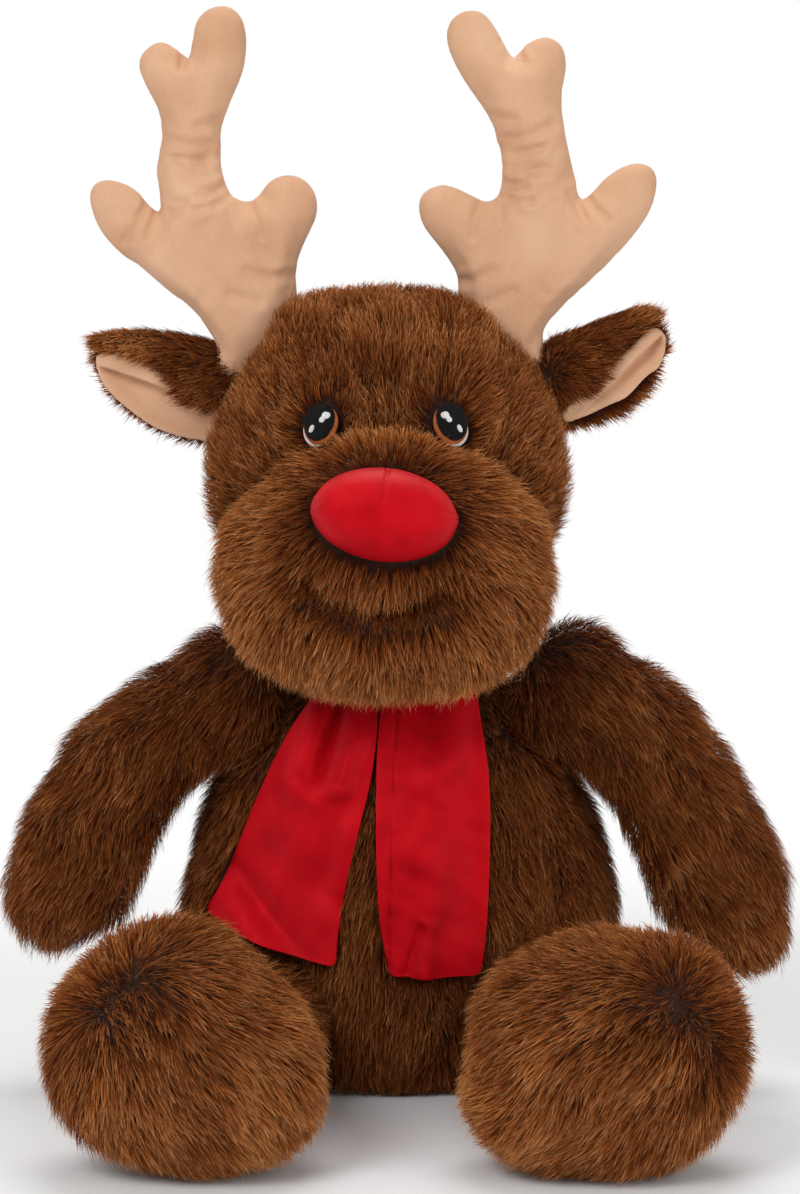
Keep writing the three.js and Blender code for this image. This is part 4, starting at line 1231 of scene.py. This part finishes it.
def buildScarfEnd(side, sign):
    inner, outer = scarf["edges"][side]
    across, down = scarf["steps"]
    length, corner = scarf["length"][side], scarf["corner"]
    last = np.sin(np.linspace(0, math.pi / 2, 10)[1:]) * corner  # rows close up round the corners
    v = np.concatenate([np.linspace(0, length - corner, down + 1), length - corner + last]) / length
    u = np.linspace(0, 1, across + 1)
    startEdge, endEdge = openCurve(inner, v), openCurve(outer, v)
    width = np.linalg.norm(endEdge - startEdge, axis=1)
    left = np.maximum(0, corner - (1 - v) * length)
    draw = (corner - np.sqrt(np.maximum(0, corner**2 - left**2))) / width * 0.9
    share = 0.5 + (u[None] - 0.5) * (1 - 2 * draw[:, None])
    grid = startEdge[:, None] * (1 - share[..., None]) + endEdge[:, None] * share[..., None]
    x, z = grid[..., 0] * mm, grid[..., 1] * mm
    vv = np.broadcast_to(v[:, None], x.shape)
    z = z - scarf["hemSag"][side] * mm * np.sin(share * math.pi) * vv**6
    depth = scarfDepth(f"scarf_end_{side}")
    y = depth(x.ravel(), z.ravel()).reshape(x.shape)

    # Folds and soft waves that the cloth keeps
    flat = np.stack([x, y, z], -1).reshape(-1, 3)
    uf, vf = share.ravel(), vv.ravel()
    wave = 3 * wander(flat * (1, 0, 0.35), 501 + sign, 0.045) * smoothStep(vf * 5)
    wave += 0.45 * wander(flat, 511 + sign, 0.02)
    for line, size, wide, *reach in scarf["creases"][side]:
        fade = smoothStep((reach[1] - vf) * 4 + reach[0]) if reach else 1
        wave += size * np.exp(-((lineGap(flat, line) / (wide * mm)) ** 2)) * fade
    if side == "right":
        off = vf - 0.8 - 0.24 * uf
        wave += scarf["cornerRise"] * smoothStep((off + 0.03) / 0.16) * smoothStep(1.25 - uf * 1.2)
        wave -= scarf["cornerDip"] * np.exp(-((off / 0.045) ** 2)) * smoothStep(1.3 - uf * 1.3)
    else:
        beside = flat[:, 0] / mm - np.interp(flat[:, 2] / mm, *scarf["layerEdge"])
        wave += scarf["layerStep"] * smoothStep(beside / 0.9 + 0.5)
        wave -= scarf["layerGroove"] * np.exp(-((beside / 1.4) ** 2))
    flat[:, 1] -= wave * mm
    row = across + 1
    rows = len(v) - 1
    faces = [
        (r * row + c, (r + 1) * row + c, (r + 1) * row + c + 1, r * row + c + 1)
        for r in range(rows)
        for c in range(across)
    ]
    end = addMesh(f"scarf_{side}_end", flat, faces)
    alignFaces(end)
    applyModifier(end, "SOLIDIFY", "two layers", thickness=scarf["thickness"], offset=0)
    applyModifier(end, "BEVEL", "pressed edge", width=0.5 * mm, segments=2, limit_method="ANGLE", angle_limit=1.0)
    faceOutwards(end)
    finishPiece(end, redSatin, f"scarf_{side}", [f"scarf_end_{side}"])
    return end


band = {
    "sectors": 72,
    "voxel": 2.2 * mm,
    "inset": 0.6 * mm,
    "foldHeight": 1.3 * mm,
    "foldCount": 3.2,
    "frontLift": 24 * mm,
    "frontDraw": 6 * mm,
    "sideLift": 6 * mm,
}


def buildScarfBand():
    loop = outerSkin("scarf_neck_band", ["scarf_band"], band["voxel"], band["inset"], smoothing=4, openRing=True)
    fineMesh(loop)
    places, normals = shapeOf(loop)

    # How high each place is between the band's lower and upper edge in its own sector
    count = band["sectors"]
    turn = np.arctan2(places[:, 1], places[:, 0])
    at = (turn + math.pi) / (2 * math.pi) * count
    sector = at.astype(int) % count
    edges = []
    for pick in (np.min, np.max):
        found = np.array([pick(places[sector == s, 2]) for s in range(count)])
        edges.append(np.interp(at - 0.5, np.arange(-1, count + 1), np.r_[found[-1], found, found[0]]))
    low, high = edges
    rise = (places[:, 2] - low) / (high - low)
    phase = rise * band["foldCount"] * 2 * math.pi + 1.1 * np.sin(2 * turn + 0.7) + 0.8 * np.sin(5 * turn + 2)
    fade = np.abs(np.sin(rise.clip(0, 1) * math.pi)) ** 0.6
    ahead = smoothStep(0.5 - places[:, 1] / (60 * mm))
    places[:, 2] += (1 - rise) * band["frontLift"] * ahead
    beside = smoothStep(np.abs(np.cos(turn)) * 1.6 - 0.5)
    places[:, 2] += band["sideLift"] * beside * (1.4 - rise)
    places[:, 1] += band["frontDraw"] * ahead
    places += normals * (np.sin(phase) * fade * band["foldHeight"])[:, None]
    setPlaces(loop.data, places)
    faceOutwards(loop)
    finishPiece(loop, redSatin, "torso", ["scarf_band"])
    return loop


buildStudio()
furMaterial, backingMaterial = buildFurMaterials()
tanSuede, redSatin, threads = buildClothMaterials()

pileBase = {
    "density": 0.87,  # strands to a square mm
    "length": 19 * mm,
    "height": 11 * mm,
    "width": 0.445 * mm,
    "sink": 1 * mm,  # how far below the skin a strand starts
    "tuft": 5,  # strands in a tuft
    "pull": 0.33,  # how far a tuft draws together
    "undercoat": 0.5,  # the share of strands that are shorter
    "underHeight": 0.66,
    "underLength": 0.78,
    "uneven": 0.22,
    "swirl": 0.25,
    "stray": 0.16,
    "droop": 0.1,
    "curl": 0.05,
    "roll": 38,  # degrees that a ribbon is turned about its own line
    "clear": 0.5 * mm,  # from the pieces that strands keep out of
    "bareBase": 8 * mm,
    "split": "z",  # the axis along which the pieces of the pile follow each other
    "spots": [],
}

eyeSpots = [spot((x, -86, 400), 23, lengthShare=0.35, tone=-0.1) for x in (-44, 31)]
noseAt = (-5, -143, 353)
smileLine = [(-50, 313), (-41, 304), (-30, 299), (-15, 296), (-1, 297), (13, 301), (27, 307)]

headSkin = outerSkin("head_fur_skin", ["head_skin"], 5 * mm, 6 * mm)
muzzleSkin = outerSkin("muzzle_fur_skin", ["muzzle_skin"], 5 * mm, 6.5 * mm)
torsoSkin = outerSkin("torso_fur_skin", ["torso_skin", "seat_panel"], 5 * mm, 7 * mm)
smile = ontoSkin(muzzleSkin, smileLine)
dentSkin(headSkin, [dent(eye["at"], 30, -3.5) for eye in eyeSpots] + [
    dent([(-42, -10, 467), (12, -10, 467)], 56, -7),
    dent([(-110, -20, 385), (-110, -25, 335)], 48, -8),
    dent([(98, -20, 385), (98, -25, 335)], 48, -5.5),
])
dentSkin(muzzleSkin, [
    dent([(-45, -95, 372), (-5, -104, 380), (30, -95, 372)], 42, -8),
    dent([(-14, -108, 384), (2, -108, 384)], 32, -9),
    dent((-101, -80, 312), 62, -6),
    dent(smile, 14, 9.5),
])
shoulders = [dent((sign * 94, -16, 257), 44, -12) for sign in (1, -1)]
armRoots = [dent([(sign * 82, -52, 246), (sign * 92, -50, 190)], 36, -8) for sign in (1, -1)]
dentSkin(torsoSkin, shoulders + armRoots + [
    dent((118, -10, 95), 90, -11, stretch=(1, 1.3, 1)),
    dent((-118, -10, 95), 80, -4, stretch=(1, 1.3, 1)),
    dent((-112, -50, 112), 50, -15),
])
print("skins", [len(s.data.vertices) for s in (headSkin, muzzleSkin, torsoSkin)])

headPile = {
    **pileBase,
    "seed": 11,
    "flows": [
        {"along": (0, 0, 1), "strength": 0.9},
        {"awayFrom": (-5, -60, 400), "strength": 0.6},
    ]
    + [{"awayFrom": eye["at"], "strength": 1.6, "within": spot(eye["at"], 32)} for eye in eyeSpots],
    "spots": eyeSpots + [
        # painted shade: darker pile in the crease between the brow and the muzzle, where the eyes sit
        spot((-6, -80, 420), 60, tone=-0.25),
        spot([(-100, -30, 420), (100, -30, 420)], 60, tone=-0.1),
    ],
}
muzzlePile = {
    **pileBase,
    "seed": 21,
    "split": "x",
    "flows": [
        {"awayFrom": noseAt, "strength": 1.0},
        {"along": (0, 0, -1), "strength": 0.35},
    ],
    "spots": [
        # painted highlight: the muzzle's pile is lighter all over and darker over its front, so that its rim shows a
        # golden sheen
        spot((-5, -110, 320), 600, tone=0.28),
        spot((-5, -150, 338), 115, tone=-0.55),
        # shorter, dark pile round the nose; part of its darkness is painted shadow of the nose pad
        spot(noseAt, 62, stretch=(1, 1, 0.75), lengthShare=0.4, tone=-0.9),
        spot([(x, y, z + 6) for x, y, z in smile], 15, lengthShare=0.3, heightShare=0.5),
        # painted shadow: a dark line just under the smile crease, below the overhanging lip
        spot([(x, y, z - 3) for x, y, z in smile], 10, lengthShare=0.6, tone=-1.7, power=0.6),
        # painted highlight: a golden band along the top of the muzzle
        spot((-5, -100, 408), 85, stretch=(1, 1, 0.5), lengthShare=1.1, tone=0.45),
    ],
}
torsoPile = {
    **pileBase,
    "seed": 31,
    "split": "y",
    "density": 0.8,
    "width": 0.47 * mm,
    "flows": [{"along": (0, 0, -1), "strength": 1}, {"awayFrom": (0, 0, 150), "strength": 0.35}],
    "spots": [
        # painted shade: the torso's pile is darker all over, as in the shade under the head
        spot((0, 0, 150), 600, tone=-0.55),
        # painted shade under the chin, beside the scarf ends
        spot([(-60, -60, 225), (60, -60, 225)], 80, tone=-0.2),
    ],
}

antlerCovers = [buildAntler(side, sign) for side, sign in sides.items()]
nosePad = buildNose()
eyePatches = [buildEye(side, sign, headSkin) for side, sign in sides.items()]
scarfBand = buildScarfBand()
scarfEnds = [buildScarfEnd(side, sign) for side, sign in sides.items()]

coverWithFur(headSkin, ["head_pile_lower", "head_pile_upper"], headPile, "head", ["head_skin"],
             keepOut=[muzzleSkin, *antlerCovers], dropUnder=eyePatches)
coverWithFur(muzzleSkin, ["muzzle_pile_right", "muzzle_pile_left"], muzzlePile, "head",
             ["muzzle_skin", "head_filling"], keepOut=[headSkin], dropUnder=[nosePad])
coverWithFur(torsoSkin, ["torso_pile_front", "torso_pile_middle", "torso_pile_back"], torsoPile, "torso",
             ["torso_skin", "seat_panel", "torso_filling"],
             keepOut=[headSkin, muzzleSkin], coveredBy=[*scarfEnds, scarfBand])

# Where the filling pushes the limbs out, with a negative depth, or leaves them slack
armShapes = {
    "right": [
        dent((-202, -60, 84), 40, 12),
        dent([(-105, -14, 268), (-145, -25, 247), (-180, -40, 215)], 34, -4.5),
        dent([(-118, -50, 185), (-136, -50, 148), (-158, -55, 110)], 36, -14),
    ],
    "left": [
        dent((212, -60, 78), 42, -13),
        dent([(124, -14, 268), (148, -20, 260), (170, -30, 243)], 38, -18),
        dent([(118, -50, 186), (134, -50, 157), (160, -55, 108)], 38, -18),
        dent([(182, -50, 222), (203, -50, 196), (216, -50, 168)], 32, 8),
    ],
}
footDeep = (1, 2, 1)
legShapes = {
    "right": [
        dent((-58, -285, 127), 72, 22, stretch=footDeep),
        dent([(-48, -108, 96), (-84, -112, 102)], 54, 20, stretch=(1, 1.5, 1)),
        dent([(-130, -285, 147), (-168, -285, 122)], 42, 6, stretch=footDeep),
        dent((-145, -285, 8), 50, 5, stretch=footDeep),
        dent((-46, -280, 25), 46, -12, stretch=footDeep),
        dent((-188, -270, 68), 60, -4, stretch=footDeep),
    ],
    "left": [
        dent([(78, -280, 138), (130, -280, 146)], 54, 16, stretch=footDeep),
        dent((46, -280, 30), 58, -13, stretch=footDeep),
        dent((188, -270, 72), 60, -4, stretch=footDeep),
    ],
}
footSeams = {
    "right": [(-158, 98), (-154, 105), (-142, 112)],
    "left": [(150, 106), (158, 97), (166, 86), (171, 74)],
}

for side, sign in sides.items():
    buildEar(side, sign)
    armSkin = outerSkin(f"arm_{side}_fur_skin", [f"arm_{side}_skin"], 5 * mm, 5 * mm)
    dentSkin(armSkin, shoulders + armShapes[side])
    armPile = {
        **pileBase,
        "seed": 41 + sign,
        "flows": [
            {"awayFrom": (sign * 40, -10, 285), "strength": 1},
            {"along": (0, 0, -1), "strength": 0.5},
        ],
        "spots": [
            spot((sign * 140, -20, 160), 600, tone=-0.45),
            # shorter pile along the inside of the arm, darker there as painted shade where the arm meets the torso
            spot([(sign * 96, -60, 256), (sign * 104, -62, 220), (sign * 122, -62, 172)], 38,
                 lengthShare=0.75, tone=-0.8),
            # painted highlight: lighter pile at the arm's outer end, a golden sheen at its rim
            spot((sign * 205, -60, 84), 45, lengthShare=0.8, tone=0.3),
        ],
    }
    coverWithFur(armSkin, [f"arm_{side}_pile"], armPile, f"arm_{side}",
                 [f"arm_{side}_skin", f"arm_{side}_filling"], keepOut=[torsoSkin])

    legSkin = outerSkin(f"leg_{side}_fur_skin", [f"leg_{side}_skin", f"sole_{side}_panel"], 5 * mm, 5.5 * mm)
    thigh = dent((sign * 126, -85, 112), 72, -28)
    dentSkin(legSkin, legShapes[side] + [thigh])
    seam = ontoSkin(legSkin, footSeams[side])
    dentSkin(legSkin, [dent(seam, 12, 3)])
    legPile = {
        **pileBase,
        "seed": 51 + sign,
        "split": "y",
        "density": 0.85,
        "flows": [
            {"awayFrom": seam, "strength": 1.0},
            {"along": (-sign * 0.3, 0, -0.6), "strength": 0.6},
        ],
        "spots": [
            spot(seam, 14, lengthShare=0.7, tone=-0.25),
            spot(seam, 130, tone=-0.3),
            spot((sign * 115, -290, 70), 600, tone=0.12),
            spot([(sign * 50, -110, 90), (sign * 90, -110, 96)], 55, lengthShare=0.6, tone=-0.6),
            # painted highlight: lighter pile along the foot's lower rim
            spot((sign * 90, -290, 20), 90, tone=0.15),
        ],
    }
    coverWithFur(legSkin, [f"foot_{side}_pile", f"leg_{side}_pile"], legPile, f"leg_{side}",
                 [f"leg_{side}_skin", f"sole_{side}_panel", f"leg_{side}_filling"],
                 keepOut=[torsoSkin], coveredBy=scarfEnds)

tailSkin = outerSkin("tail_fur_skin", ["tail"], 3 * mm, 4 * mm, smoothing=6)
tailPile = {
    **pileBase,
    "seed": 71,
    "length": 17 * mm,
    "height": 8 * mm,
    "flows": [{"along": (0, 0.1, -1)}],
}
coverWithFur(tailSkin, ["tail_pile"], tailPile, "tail", ["tail"], keepOut=[torsoSkin])
neckSkin = outerSkin("neck_fur_skin", ["neck_filling"], 4 * mm, 1.5 * mm, smoothing=6)
neckPile = {
    **pileBase,
    "seed": 81,
    "density": 1.5,
    "length": 21 * mm,
    "height": 13 * mm,
    "flows": [{"along": (0, 0, -1)}],
    "spots": [spot((0, 0, 270), 400, tone=-0.4)],
}
coverWithFur(neckSkin, ["neck_pile"], neckPile, "neck", ["neck_filling"], keepOut=[torsoSkin, headSkin])
